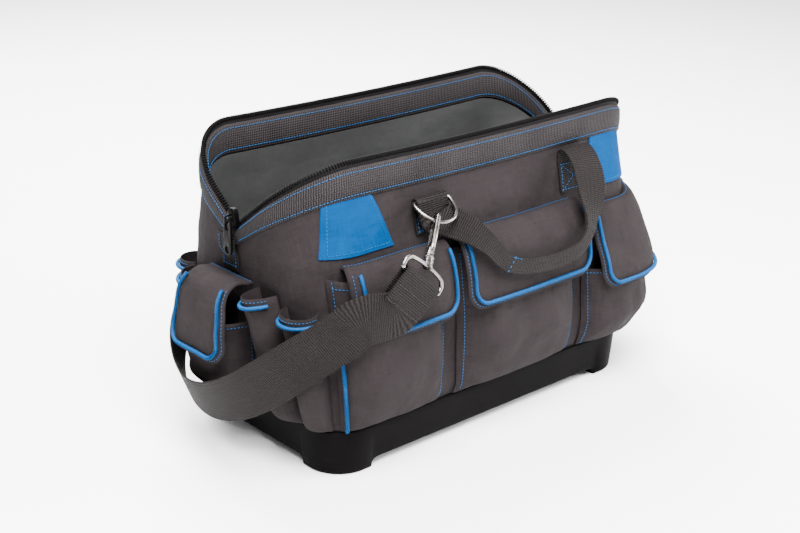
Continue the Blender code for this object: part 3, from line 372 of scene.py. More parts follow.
def shell(name, inner, wall, material, closed=False, flat_edge=False):
    """Cloth with a wall: inner is a grid of points, and its outer face lies wall further out."""
    inner = np.asarray(inner, dtype=float)
    rows, columns = inner.shape[:2]
    wrapped = np.concatenate([inner[:, -1:], inner, inner[:, :1]], axis=1) if closed else inner
    side = np.gradient(wrapped, axis=1)[:, 1:-1] if closed else np.gradient(inner, axis=1)
    normal = np.cross(side, np.gradient(inner, axis=0))
    normal /= np.maximum(np.linalg.norm(normal, axis=2, keepdims=True), 1e-9)
    away = inner - inner.mean(axis=(0, 1)) if closed else np.broadcast_to(
        inner.mean(axis=(0, 1)) - CENTRE - (0, 0, 0.1), inner.shape)
    if (normal * away).sum() < 0:
        normal = -normal
    thick = np.full((rows, columns, 1), wall)
    if not flat_edge:
        thick[-1] *= 0.55
        if not closed:
            thick[:, 0] *= 0.55
            thick[:, -1] *= 0.55
    points = np.concatenate([inner.reshape(-1, 3), (inner + normal * thick).reshape(-1, 3)])
    along = run_lengths(np.vstack([inner[rows // 2], inner[rows // 2][:1]]))
    up = run_lengths(inner[:, columns // 2])
    faces, corners = [], []
    last = columns if closed else columns - 1

    def add(cells):
        faces.append([layer * rows * columns + row * columns + step % columns
                      for layer, row, step in cells])
        corners.extend([(along[step], up[row] + layer * wall) for layer, row, step in cells])

    for layer in (0, 1):
        for row in range(rows - 1):
            for step in range(last):
                add([(layer, row, step), (layer, row, step + 1),
                     (layer, row + 1, step + 1), (layer, row + 1, step)])
    for row in (0, rows - 1):
        for step in range(last):
            add([(0, row, step), (0, row, step + 1), (1, row, step + 1), (1, row, step)])
    if not closed:
        for step in (0, columns - 1):
            for row in range(rows - 1):
                add([(0, row, step), (0, row + 1, step), (1, row + 1, step), (1, row, step)])
    return make_object(name, points, faces, corners, material, 75)


def keep(item, slot, *nodes, body="bag"):
    """The piece stands for these nodes and rides their body; the slot is not used."""
    if nodes:
        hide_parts(*nodes)
    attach(item, body)
    return item


ROUND = np.linspace(-HALF, HALF, 337)[:-1]
body_rows = []
for height in np.linspace(FLOOR_TOP + 0.0006, SEAT_TOP, 6):
    body_rows.append([body_point(station, height, -BODY_WALL) for station in ROUND])
for share in np.linspace(0.0, 1.0, 48)[1:]:
    body_rows.append([body_point(station, SEAT_TOP + (hem_bottom(station) + 0.0008 - SEAT_TOP) * share,
                                 -BODY_WALL) for station in ROUND])
body_cloth = woven("body_fabric_look", CHARCOAL, CHARCOAL_LIGHT, 0.0013, 0.84, 0.00022)
body = shell("body", body_rows, BODY_WALL, body_cloth, closed=True, flat_edge=True)
keep(body, "body_fabric", "body_shell")

# The lining: thin grey-green coated cloth, a little glossy, hanging loose inside the body with its
# own floor.  At the two ends it folds inwards below the hinges, where the mouth's arms draw it in.
LINING_WALL, LINING_GAP, LINING_SLACK, LINING_FOLD = 0.0006, 0.0016, 0.0030, 0.012


def lining_point(station, share):
    low, high = FLOOR_TOP + 0.004, hem_bottom(station) - 0.002
    point = body_point(station, low + (high - low) * share, -BODY_WALL - LINING_GAP)
    end = max(0.0, abs(outward_at(station)[0]) - 0.35) / 0.65
    fold = LINING_FOLD * end * math.exp(-((share - 0.72) / 0.16) ** 2)
    fullness = math.sin(math.pi * min(1.0, share * 1.02))
    loose = LINING_SLACK * (1 + crease(point, 0.045, 0.13, 5.5)) * fullness
    return point - outward_at(station) * (fold + loose)


lining_cloth = woven("lining_look", (0.014, 0.0145, 0.0142), (0.034, 0.0350, 0.0342), 0.0008, 0.44, 0.00007,
                     shine=0.4, folds=0.0014)
lining_rows = [[lining_point(station, share) for station in ROUND[::2]] for share in np.linspace(0, 1, 36)]
ring = np.array(lining_rows[0])
for share in (0.9, 0.6, 0.3, 0.02):
    middle = ring.mean(axis=0)
    lining_rows.insert(0, list(middle + (ring - middle) * share + (0.0, 0.0, -0.0006)))
lining = shell("lining", lining_rows[::-1], LINING_WALL, lining_cloth, closed=True)
keep(lining, "body_fabric")

# The mouth's hems: a wide band of thick woven webbing folded over the steel of each half of the
# mouth, seen inside and outside, closely ribbed, with a row of blue stitches at each edge.
HEM_ROUND, HEM_WAVE, HEM_LOW_ROW, HEM_HIGH_ROW = 0.0012, 0.0005, 0.13, 0.88


def geometry_group(name, sockets):
    """A node group with a geometry going in and out and the named numbers beside it."""
    group = bpy.data.node_groups.new(name, "GeometryNodeTree")
    group.interface.new_socket("Geometry", in_out="INPUT", socket_type="NodeSocketGeometry")
    for socket, kind in sockets.items():
        group.interface.new_socket(socket, in_out="INPUT", socket_type="NodeSocket" + kind)
    group.interface.new_socket("Geometry", in_out="OUTPUT", socket_type="NodeSocketGeometry")
    return group, group.nodes.new("NodeGroupInput"), group.nodes.new("NodeGroupOutput")


def add_node(group, kind, settings, inputs):
    node = group.nodes.new(kind)
    for key, value in settings.items():
        setattr(node, key, value)
    for key, value in inputs.items():
        if isinstance(value, bpy.types.NodeSocket):
            group.links.new(value, node.inputs[key])
        else:
            node.inputs[key].default_value = value
    return node


def path_curve(name, paths):
    curve = bpy.data.curves.new(name, "CURVE")
    curve.dimensions = "3D"
    curve.twist_mode = "Z_UP"
    for path in paths:
        spline = curve.splines.new("POLY")
        spline.points.add(len(path) - 1)
        spline.points.foreach_set("co", np.hstack([path, np.ones((len(path), 1))]).ravel())
    item = bpy.data.objects.new(name, curve)
    bpy.context.scene.collection.objects.link(item)
    return item


def grown(name, paths, group, values):
    """The mesh that a node group grows along the paths."""
    item = path_curve(name + "_path", paths)
    modifier = item.modifiers.new("grow", "NODES")
    modifier.node_group = group
    for socket in group.interface.items_tree:
        if socket.name in values:
            modifier[socket.identifier] = values[socket.name]
    bpy.context.view_layer.update()
    mesh = bpy.data.meshes.new_from_object(item.evaluated_get(bpy.context.evaluated_depsgraph_get()))
    curve = item.data
    bpy.data.objects.remove(item)
    bpy.data.curves.remove(curve)
    mesh.name = name
    mesh.shade_smooth()
    made = bpy.data.objects.new(name, mesh)
    bpy.context.scene.collection.objects.link(made)
    return made


def row_group(name, segments, rings):
    """Rounded beads laid along a path, one to each pitch, such as stitches or a coil's turns."""
    group, given, result = geometry_group(name, {
        "Pitch": "Float", "Size": "Vector", "Material": "Material"})
    spots = add_node(group, "GeometryNodeCurveToPoints", {"mode": "LENGTH"},
                     {"Curve": given.outputs["Geometry"], "Length": given.outputs["Pitch"]})
    bead = add_node(group, "GeometryNodeMeshUVSphere", {}, {
        "Segments": segments, "Rings": rings, "Radius": 0.5})
    laid = add_node(group, "GeometryNodeInstanceOnPoints", {}, {
        "Points": spots.outputs["Points"], "Instance": bead.outputs["Mesh"],
        "Rotation": spots.outputs["Rotation"], "Scale": given.outputs["Size"]})
    real = add_node(group, "GeometryNodeRealizeInstances", {}, {"Geometry": laid.outputs["Instances"]})
    painted = add_node(group, "GeometryNodeSetMaterial", {}, {
        "Geometry": real.outputs["Geometry"], "Material": given.outputs["Material"]})
    group.links.new(painted.outputs["Geometry"], result.inputs["Geometry"])
    return group


def thread_look(name, dark, light, shine=0.12):
    made, start = material_start(name)
    x, y, z = object_axes(start)
    fibre = start.grain(x, y, z, 2600.0)
    colour = fibre.between(0.3, 0.7).colours(dark, light)
    return material_end(made, colour, 0.5 + fibre * 0.2, fibre, 0.00008, shine=shine)


STITCHES = row_group("stitches", 6, 5)
BLUE_THREAD = thread_look("blue_thread_look", (0.001, 0.034, 0.105), (0.002, 0.070, 0.190))


def stitches(name, paths, length=0.0024, pitch=0.0034, width=0.0007, thread=BLUE_THREAD):
    """A row of stitches along each path, as one piece."""
    made = grown(name, paths, STITCHES, {
        "Pitch": pitch, "Size": (width, width, length), "Material": thread})
    return keep(made, "blue_piping")


def ribbed(name, dark, light, pitch, roughness):
    """Webbing: ridges of yarn across it that lean one way and then the other; u runs along it."""
    made, start = material_start(name)
    place = start.make("ShaderNodeUVMap", {"uv_map": "weave"}, {})
    parts = start.make("ShaderNodeSeparateXYZ", {}, {0: place})
    u, v = parts, parts.out(1)
    lean = (v * (2 * math.pi / (pitch * 3.4))).sine()
    yarn = ((u * (2 * math.pi / pitch)) + lean * 0.35).sine()
    warp = (v * (2 * math.pi / (pitch * 1.1))).sine()
    fleck = start.grain(u * 0.5, v, 0.0, 900.0)
    worn = start.grain(u, v, 2.0, 22.0, 4.0)
    shade = yarn * 0.24 + yarn * warp * 0.17 + fleck * 0.34 + worn * 0.32 + 0.12
    colour = shade.between(0.0, 1.0).colours(dark, light)
    return material_end(made, colour, roughness + worn * 0.1, yarn * 0.6 + warp * 0.3 + fleck * 0.3, 0.0004,
                        shine=0.05)


def half_stations(steps):
    """Stations of one half of the mouth, from the left hinge over the front to the right."""
    end = QUARTER - 0.0006
    return np.linspace(-end, end, steps)


def hem_fullness(share):
    """How much of its thickness the band has at a share of its height."""
    return 0.70 + 0.26 * math.sin(math.pi * share)


def hem_section(station):
    """The band's rounded section, as pairs of a place across and a height."""
    half, top, bottom = HEM_THICKNESS / 2, hem_top(station), hem_bottom(station)
    wave = HEM_WAVE * math.sin(station * 61.0)
    outer = [(half * 0.55, bottom), (half * 0.66, bottom + HEM_ROUND)]
    for share in (0.2, 0.35, 0.5, 0.65, 0.8):
        outer.append((half * hem_fullness(share) + wave * 0.4, bottom + (top - bottom) * share))
    outer += [(half * 0.62, top - HEM_ROUND), (half * 0.40, top)]
    return outer + [(-across, height) for across, height in reversed(outer)]


def rim_place(station, across, height, turn):
    point, outward = outline_point(station, *RIM)
    place = point + outward * across
    return np.array([turn * place[0], turn * place[1], height]) + CENTRE


def hem_line(share, side, turn, lift=0.0003):
    """A line along the band's outer or inner face at a share of its height."""
    line = []
    for station in half_stations(240)[6:-6]:
        top, bottom = hem_top(station), hem_bottom(station)
        across = HEM_THICKNESS / 2 * hem_fullness(share) + lift
        line.append(rim_place(station, side * across, bottom + (top - bottom) * share, turn))
    return line


hem_look = ribbed("hem_webbing_look", (0.0022, 0.0018, 0.0019), (0.032, 0.0277, 0.0290), 0.0022, 0.66)
for side, turn in (("front", 1), ("rear", -1)):
    rings = [[rim_place(station, across, height, turn) for across, height in hem_section(station)]
             for station in half_stations(300)]
    hem = loft("hem_" + side, rings, hem_look)
    keep(hem, "hem_webbing", "rim_" + side)
    lines = [hem_line(share, out, turn) for share in (HEM_LOW_ROW, HEM_HIGH_ROW) for out in (1, -1)]
    stitches("hem_stitches_" + side, lines, width=0.0008)

# The zip: black polyester tape standing on each hem, with a nylon coil along its free edge, whose
# turns are the teeth.  A dark thread holds the coil to the tape.
TAPE_THICKNESS, TAPE_SWAY = 0.0016, 0.0003
TOOTH, TOOTH_PITCH = (0.0054, 0.0050, 0.0020), 0.0028
tape_look = woven("zip_tape_look", (0.0016, 0.0014, 0.0015), (0.0080, 0.0070, 0.0074), 0.0010, 0.72, 0.0001,
                  folds=0.0)
tooth_look = thread_look("zip_teeth_look", (0.0010, 0.0009, 0.0009), (0.0040, 0.0035, 0.0037), 0.035)
COIL = row_group("coil", 8, 6)
for side, turn in (("front", 1), ("rear", -1)):
    rings = []
    teeth = []
    for station in half_stations(260):
        low, high = hem_top(station) + 0.0002, hem_top(station) + ZIP_HEIGHT - 0.0018
        half = TAPE_THICKNESS / 2
        sway = TAPE_SWAY * math.sin(station * 90)
        section = [(-half, low), (-half + sway, (low + high) / 2), (-half * 0.6 + sway, high),
                   (half * 0.6 + sway, high), (half + sway, (low + high) / 2), (half, low)]
        rings.append([rim_place(station, across, height, turn) for across, height in section])
        teeth.append(rim_place(station, 0.0, high, turn))
    tape = loft("tape_" + side, rings, tape_look)
    keep(tape, "zip_tape", "zip_tape_" + side)
    coil = grown("zip_teeth_" + side, [teeth[3:-3]], COIL, {
        "Pitch": TOOTH_PITCH, "Size": TOOTH, "Material": tooth_look})
    keep(coil, "zip_tape")

# The corner patches: bright blue woven cloth sewn flat over the body's upper corners, with a turned
# edge and one row of blue stitches just inside it.
PATCH_WALL, PATCH_OUTER, PATCH_WIDTH, PATCH_FOOT = 0.0010, 0.020, 0.043, 0.716
PATCH_GAP, PATCH_MARGIN, FLARE_LEFT, FLARE_RIGHT = 0.0006, 0.07, 0.018, 0.009
blue_cloth = woven("blue_fabric_look", (0.0, 0.016, 0.060), (0.0, 0.042, 0.140), 0.0013, 0.66, 0.00018,
                   shine=0.015)


def patch_point(side, turn, flare, across, down):
    outer = FRONT_RUN + PATCH_OUTER
    inner = outer - PATCH_WIDTH - flare * down ** 0.85
    outer += flare * 0.4 * down
    station = side * (inner + (outer - inner) * across) + turn
    top = hem_bottom(station) + PATCH_GAP
    return body_point(station, top + (PATCH_FOOT * BAR_Z - top) * down, PATCH_GAP)


patch_lines = []
for name, side, turn in (("front_left", -1, 0.0), ("front_right", 1, 0.0),
                         ("rear_left", 1, HALF), ("rear_right", -1, HALF)):
    flare = FLARE_LEFT if side < 0 else FLARE_RIGHT
    grid = [[patch_point(side, turn, flare, across, down) for across in np.linspace(0, 1, 34)]
            for down in np.linspace(1, 0, 30)]
    patch = shell("patch_" + name, grid, PATCH_WALL, blue_cloth)
    keep(patch, "blue_fabric", "corner_patch_" + name)
    far = 1 - PATCH_MARGIN
    edge = [(PATCH_MARGIN, down) for down in np.linspace(0.02, far, 14)]
    edge += [(across, far) for across in np.linspace(0.12, far, 14)]
    edge += [(far, down) for down in np.linspace(0.88, 0.02, 14)]
    patch_lines.append([patch_point(side, turn, flare, across, down)
                        + outward_at(side * FRONT_RUN + turn) * (PATCH_WALL + 0.0002)
                        for across, down in edge])
stitches("patch_stitches", patch_lines, width=0.0008)

# The pockets: the body's own cloth cut wider than its seams, so that it stands out boxy, with a
# turned hem at the mouth and blue stitches down both seams.  A row holds a pocket's two ends, as
# shares of a quarter of the way round, its depth in metres and its mouth as a share of the bag's height.
POCKETS = {
    "pocket_front_left": (-0.632, -0.262, 0.019, 0.660),
    "pocket_front_middle": (-0.191, 0.323, 0.023, 0.660),
    "pocket_front_right": (0.388, 0.790, 0.022, 0.450),
    "pocket_end_left": (-1.190, -0.915, 0.042, 0.465),
    "pocket_end_right": (0.930, 1.190, 0.042, 0.465),
    "pocket_rear": (1.530, 2.470, 0.012, 0.620),
}
POCKET_WALL, POCKET_SLACK, POCKET_BACK = 0.0018, 0.0042, 0.0008
POCKET_FOOT_SHARE, POCKET_RISE, POCKET_SEAM_SHARE, POCKET_TUCK = 0.35, 1.3, 0.05, 0.10


def pocket_depth(across, up, depth):
    """How far a pocket stands out: boxy across, full a little above its bottom seam."""
    if up <= 0:
        return POCKET_BACK
    side = 1 - abs(2 * across - 1) ** 5
    rise = min(1.0, POCKET_FOOT_SHARE + POCKET_RISE * math.sin(min(up, 1.0) * math.pi / 2))
    rise *= min(1.0, up / POCKET_SEAM_SHARE)
    return POCKET_BACK + depth * side * rise * (1 - POCKET_TUCK * max(0.0, up - 0.5) * 2)


class Pouch:
    """A pouch sewn to the body along two seams and its bottom, open at the top."""

    def __init__(self, start, end, depth, mouth, profile, slack):
        self.start, self.end, self.depth = start * QUARTER, end * QUARTER, depth
        self.profile, self.slack = profile, slack
        self.bottom, self.mouth = SEAT_TOP + 0.0020, mouth * BAR_Z

    def point(self, across, up):
        station = self.start + (self.end - self.start) * across
        height = self.bottom + (self.mouth - self.bottom) * up
        made = body_point(station, height, self.profile(across, up, self.depth))
        fade = min(1.0, 5 * across, 5 * (1 - across)) * min(1.0, max(0.0, 7 * (0.93 - up)), 8 * up)
        folds = crease(made, 0.060, 0.030, 1.7) + 0.6 * crease(made, 0.022, 0.045, 6.3)
        return made + outward_at(station) * (self.slack * fade * folds)

    def grid(self, columns, rows):
        shares = 0.5 - 0.5 * np.cos(np.linspace(0, math.pi, columns))
        ups = [*np.linspace(0, 0.12, rows // 4, endpoint=False), *np.linspace(0.12, 1, rows - rows // 4)]
        return [[self.point(across, up) for across in shares] for up in ups]

    def outer(self, across, up, extra):
        step = 0.006
        here = self.point(across, up)
        sideways = self.point(across + step, up) - self.point(across - step, up)
        rise = self.point(across, up + step) - self.point(across, up - step)
        away = unit(np.cross(sideways, rise))
        if np.dot(away, outward_at(self.start + (self.end - self.start) * across)) < 0:
            away = -away
        return here + away * (POCKET_WALL + extra)


pouches = {}
for name, sizes in POCKETS.items():
    pouch = Pouch(*sizes, pocket_depth, POCKET_SLACK)
    pouches[name] = pouch
    item = shell(name.replace("pocket", "pouch"), pouch.grid(64, 48), POCKET_WALL, body_cloth)
    keep(item, "body_fabric", name)
    seams = [[pouch.outer(across, up, 0.0002) for up in np.linspace(0.05, 0.985, 50)]
             for across in (0.030, 0.970)]
    seams.append([pouch.outer(across, 0.955, 0.0002) for across in np.linspace(0.03, 0.97, 60)])
    stitches(name.replace("pocket", "pouch") + "_stitches", seams, width=0.0009)

# The long sleeves: narrow tubes of the same cloth sewn to the body, each with a folded band round
# its mouth above a ring of twisted blue piping.  Their rows hold what the pockets' rows hold.
SLEEVES = {
    "sleeve_left_a": (-0.866, -0.756, 0.026, 0.582),
    "sleeve_left_b": (-0.730, -0.660, 0.021, 0.556),
    "sleeve_left_c": (-1.318, -1.212, 0.019, 0.530),
    "sleeve_left_d": (-1.410, -1.338, 0.018, 0.530),
    "sleeve_right_a": (0.815, 0.912, 0.024, 0.582),
}
SLEEVE_BAND, SLEEVE_SLACK, SLEEVE_FOOT_SHARE, SLEEVE_SEAM_SHARE = 0.007, 0.0010, 0.45, 0.04
PIPING_RADIUS, PIPING_PITCH, PIPING_HOLLOW = 0.0022, 0.007, 0.62
PIPING_BLUE, PIPING_BLUE_LIGHT = (0.0, 0.018, 0.070), (0.0, 0.075, 0.230)


def piping_group():
    """Twisted cord: a lobed section swept along a path while it turns."""
    group, given, result = geometry_group("piping", {
        "Radius": "Float", "Pitch": "Float", "Material": "Material"})
    even = add_node(group, "GeometryNodeResampleCurve", {"mode": "LENGTH"},
                    {"Curve": given.outputs["Geometry"], "Length": 0.0009})
    length = add_node(group, "GeometryNodeSplineParameter", {}, {})
    turns = add_node(group, "ShaderNodeMath", {"operation": "DIVIDE"},
                     {0: length.outputs["Length"], 1: given.outputs["Pitch"]})
    angle = add_node(group, "ShaderNodeMath", {"operation": "MULTIPLY"},
                     {0: turns.outputs[0], 1: 2 * math.pi})
    turned = add_node(group, "GeometryNodeSetCurveTilt", {},
                      {"Curve": even.outputs["Curve"], "Tilt": angle.outputs[0]})
    hollow = add_node(group, "ShaderNodeMath", {"operation": "MULTIPLY"},
                      {0: given.outputs["Radius"], 1: PIPING_HOLLOW})
    star = add_node(group, "GeometryNodeCurveStar", {}, {
        "Points": 5, "Inner Radius": hollow.outputs[0], "Outer Radius": given.outputs["Radius"]})
    swept = add_node(group, "GeometryNodeCurveToMesh", {}, {
        "Curve": turned.outputs["Curve"], "Profile Curve": star.outputs["Curve"], "Fill Caps": True})
    painted = add_node(group, "GeometryNodeSetMaterial", {}, {
        "Geometry": swept.outputs["Mesh"], "Material": given.outputs["Material"]})
    group.links.new(painted.outputs["Geometry"], result.inputs["Geometry"])
    return group


PIPING = piping_group()
PIPING_LOOK = thread_look("blue_piping_look", PIPING_BLUE, PIPING_BLUE_LIGHT)


def piping(name, path, node):
    made = grown(name, [path], PIPING, {
        "Radius": PIPING_RADIUS, "Pitch": PIPING_PITCH, "Material": PIPING_LOOK})
    return keep(made, "blue_piping", node)


def sleeve_depth(across, up, depth):
    """Half round across, narrowing towards the bottom seam."""
    if up <= 0:
        return POCKET_BACK
    side = math.sqrt(max(0.0, 1 - (2 * across - 1) ** 2))
    rise = min(1.0, SLEEVE_FOOT_SHARE + (1 - SLEEVE_FOOT_SHARE) * min(up, 1.0) ** 0.6)
    return POCKET_BACK + depth * side * (rise * min(1.0, up / SLEEVE_SEAM_SHARE))


for name, sizes in SLEEVES.items():
    pouch = Pouch(*sizes, sleeve_depth, SLEEVE_SLACK)
    item = shell(name.replace("sleeve", "tool_sleeve"), pouch.grid(34, 44), POCKET_WALL, body_cloth)
    keep(item, "body_fabric", name)
    rise = SLEEVE_BAND / (pouch.mouth - pouch.bottom)
    shares = 0.5 - 0.44 * np.cos(np.linspace(0, math.pi, 40))
    piping(name + "_cord", [pouch.outer(share, 1 - rise, PIPING_RADIUS) for share in shares],
           name + "_piping")
    band = [pouch.outer(share, 1 - rise * 0.38, 0.0001) for share in shares]
    stitches(name.replace("sleeve", "tool_sleeve") + "_stitches", [band],
             length=0.0022, pitch=0.0032, width=0.0008)

# The pocket flaps: two layers of the cloth sewn along their top edge, folded over the pocket's mouth
# and hanging in front, with rounded lower corners and twisted blue piping set in from the edge.  A
# row holds the pocket, the flap's two ends, its seam and lower edge as shares, and how it slopes.
FLAPS = {
    "flap_front_left": ("pocket_front_left", -0.600, -0.246, 0.688, 0.478, 0.0),
    "flap_front_middle": ("pocket_front_middle", -0.211, 0.343, 0.697, 0.478, 0.0),
    "flap_front_right": ("pocket_front_right", 0.410, 0.740, 0.655, 0.390, 0.7),
    "flap_end_left": ("pocket_end_left", -1.200, -0.908, 0.585, 0.350, 0.2),
    "flap_end_right": ("pocket_end_right", 0.920, 1.200, 0.585, 0.350, 0.2),
}
FLAP_PROFILE = ((0.00, 0.00), (0.20, -0.01), (0.52, -0.05), (0.82, 0.04), (0.97, 0.18),
                (1.00, 0.34), (1.01, 0.60), (1.00, 0.84), (0.98, 1.00))
FLAP_WALL, FLAP_CORNER, PIPING_INSET, FLAP_SLACK, FLAP_EDGE_TURN = 0.0024, 0.016, 0.006, 0.0016, 0.16
FLAP_CLEAR, SEAM_GAP, HANG_GAP, SEAM_RUN = 0.0032, 0.0003, 0.0012, 0.006


def smooth_path(rows, steps):
    """Points on a smooth curve through the rows, with steps points from each row to the next."""
    rows = np.asarray(rows, dtype=float)
    ends = np.vstack([2 * rows[0] - rows[1], rows, 2 * rows[-1] - rows[-2]])
    made = []
    for index in range(1, len(ends) - 2):
        before, start, end, after = ends[index - 1:index + 3]
        for step in range(steps):
            t = step / steps
            made.append(0.5 * (2 * start + (end - before) * t
                               + (2 * before - 5 * start + 4 * end - after) * t ** 2
                               + (3 * start - before - 3 * end + after) * t ** 3))
    made.append(rows[-1])
    return np.array(made)


class Flap:
    """A flap sewn above a pocket's mouth, folded over it and hanging in front."""

    def __init__(self, depth, start, end, seam, lower_edge, slope, seed):
        self.top, self.drop = seam * BAR_Z, (seam - lower_edge) * BAR_Z
        self.reach = depth + FLAP_CLEAR
        self.centre, self.half = (start + end) / 2 * QUARTER, (end - start) / 2 * QUARTER
        profile = np.array(FLAP_PROFILE)
        profile[:, 1] -= np.minimum(0.0, profile[:, 1]) * min(1.0, 2 * slope)
        profile[:, 0] += (np.minimum(1.0, 1.3 * profile[:, 1]) - profile[:, 0]) * slope
        self.profile = smooth_path(profile, 6)
        self.runs = run_lengths(self.profile * (self.reach, self.drop))
        self.seed = seed

    def half_width(self, run):
        rise = FLAP_CORNER - (self.runs[-1] - run)
        if rise <= 0:
            return self.half
        return self.half - FLAP_CORNER + math.sqrt(max(0.0, FLAP_CORNER ** 2 - rise ** 2))

    def point(self, offset, run):
        reach = np.interp(run, self.runs, self.profile[:, 0]) * self.reach
        drop = np.interp(run, self.runs, self.profile[:, 1]) * self.drop
        turned = 1 - FLAP_EDGE_TURN * (abs(offset) / self.half) ** 6
        clear = SEAM_GAP + HANG_GAP * min(1.0, run / SEAM_RUN)
        made = body_point(self.centre + offset, self.top - drop, clear + reach * turned)
        hang = run / self.runs[-1]
        lift = FLAP_SLACK * hang * (1 + crease(made, 0.055, 0.05, self.seed))
        return made + outward_at(self.centre + offset) * lift

    def outer(self, offset, run, extra):
        step = 0.002
        along = self.point(offset + step, run) - self.point(offset - step, run)
        low, high = max(0.0, run - step), min(self.runs[-1], run + step)
        down = self.point(offset, high) - self.point(offset, low)
        return self.point(offset, run) + unit(np.cross(down, along)) * (FLAP_WALL + extra)

    def edge_path(self, inset, top):
        """Down one side, round the corner, along the lower edge and up the other side."""
        lower, side = self.runs[-1] - inset, self.half - inset
        corner = FLAP_CORNER - inset * 0.4
        left = [(-side, run) for run in np.linspace(top, lower - corner, 20)]
        for turn in np.linspace(0, math.pi / 2, 10)[1:]:
            left.append((-side + corner * (1 - math.cos(turn)), lower - corner * (1 - math.sin(turn))))
        middle = [(share * (side - corner), lower) for share in np.linspace(-0.95, 0.95, 30)]
        return left + middle + [(-offset, run) for offset, run in reversed(left)]


for number, (name, (pocket, *sizes)) in enumerate(FLAPS.items()):
    flap = Flap(POCKETS[pocket][2], *sizes, seed=2.0 + number)
    total = flap.runs[-1]
    runs = list(np.linspace(0, total - FLAP_CORNER, 34))
    runs += list(total - FLAP_CORNER + FLAP_CORNER * np.sin(np.linspace(0, math.pi / 2, 12)[1:]))
    grid = [[flap.point(flap.half_width(run) * share, run) for share in np.linspace(-1, 1, 60)]
            for run in reversed(runs)]
    item = shell(name.replace("flap", "cover"), grid, FLAP_WALL, body_cloth)
    keep(item, "body_fabric", name)
    start = flap.runs[18]
    path = [flap.outer(offset, run, PIPING_RADIUS) for offset, run in flap.edge_path(PIPING_INSET, start)]
    piping(name + "_cord", path, name + "_piping")
    margin = [flap.outer(offset, run, 0.0001) for offset, run in flap.edge_path(0.0026, start)]
    seam = [flap.outer(share * flap.half * 0.96, 0.0030, 0.0001) for share in np.linspace(-1, 1, 60)]
    stitches(name.replace("flap", "cover") + "_stitches", [margin, seam], length=0.0022, width=0.0008)

# The piping on two of the pockets: the same twisted blue cord, sewn up the end seam of the front left
# pocket and along the mouth of the wide one at the back.
CORD_LIFT = PIPING_RADIUS + 0.0006
front = pouches["pocket_front_left"]
piping("pocket_front_left_cord", [front.outer(0.045, up, CORD_LIFT) for up in np.linspace(0.03, 0.62, 60)],
       "pocket_front_left_piping")
rear = pouches["pocket_rear"]
rise = 1 - SLEEVE_BAND / (rear.mouth - rear.bottom)
piping("pocket_rear_cord", [rear.outer(share, rise, CORD_LIFT) for share in np.linspace(0.06, 0.94, 90)],
       "pocket_rear_piping")

# The handles: one length of 38 mm ribbed polypropylene webbing each, sewn down at both ends with a
# boxed cross in blue thread, folded over a D-ring's bar at the left, and its middle folded into a grip.
# A row holds a place along, a height and a reach, the width's direction in three parts, and the grip.
HANDLE_ROWS = (
    (-0.263, 0.8000, 0.195, 1.0, 0.0, 0.0, 0.0), (-0.258, 0.7780, 0.190, 1.0, 0.0, 0.1, 0.0),
    (-0.232, 0.7600, 0.300, 0.7, -0.4, 0.7, 0.25), (-0.192, 0.7350, 0.780, 0.3, -0.6, 1.0, 0.55),
    (-0.152, 0.6900, 1.080, 0.0, -0.4, 1.0, 0.8), (-0.105, 0.6350, 1.120, 0.0, 0.0, 1.0, 1.0),
    (-0.040, 0.6020, 1.100, 0.0, 0.0, 1.0, 1.0), (0.045, 0.5850, 1.100, 0.0, 0.0, 1.0, 1.0),
    (0.145, 0.5800, 1.100, 0.0, 0.0, 1.0, 1.0), (0.232, 0.5930, 1.100, 0.0, 0.0, 1.0, 1.0),
    (0.280, 0.6270, 1.080, -0.3, 0.0, 1.0, 1.0), (0.305, 0.6730, 1.060, -0.7, 0.1, 0.6, 0.6),
    (0.322, 0.7220, 1.000, -1.0, 0.1, 0.2, 0.1), (0.346, 0.7730, 0.860, -1.0, 0.0, 0.0, 0.0),
    (0.364, 0.8200, 0.680, -1.0, 0.0, 0.0, 0.0), (0.370, 0.8580, 0.460, -1.0, 0.0, 0.0, 0.0),
    (0.370, 0.8730, 0.250, -1.0, 0.0, 0.0, 0.0), (0.370, 0.8600, 0.100, -1.0, 0.0, 0.0, 0.0),
)
WEB_WIDTH, WEB_THICKNESS, GRIP_WIDTH, GRIP_THICKNESS = 0.038, 0.0024, 0.0160, 0.0044
CROSS_HALF, CROSS_MARGIN, CROSS_LEFT_DROP = 0.0155, 0.008, 0.012
PATCH_BOTTOM, PATCH_TOP, LEFT_STATION, RIGHT_STATION = 0.727, 0.826, -0.264, 0.370
WIRE = 0.002
webbing_look = ribbed("webbing_look", (0.0014, 0.0011, 0.0011), (0.0150, 0.0123, 0.0120), 0.0021, 0.62)


def directed(station, along, outward, up):
    return along_at(station) * along + outward_at(station) * outward + np.array([0.0, 0.0, up])


def bar_place(turn):
    """The middle of the D-ring's bar, in the fold at the top of the handle's left end."""
    station = LEFT_STATION * QUARTER + turn
    return station, body_point(station, PATCH_TOP * BAR_Z, 0.0029 + WIRE, 0.0)


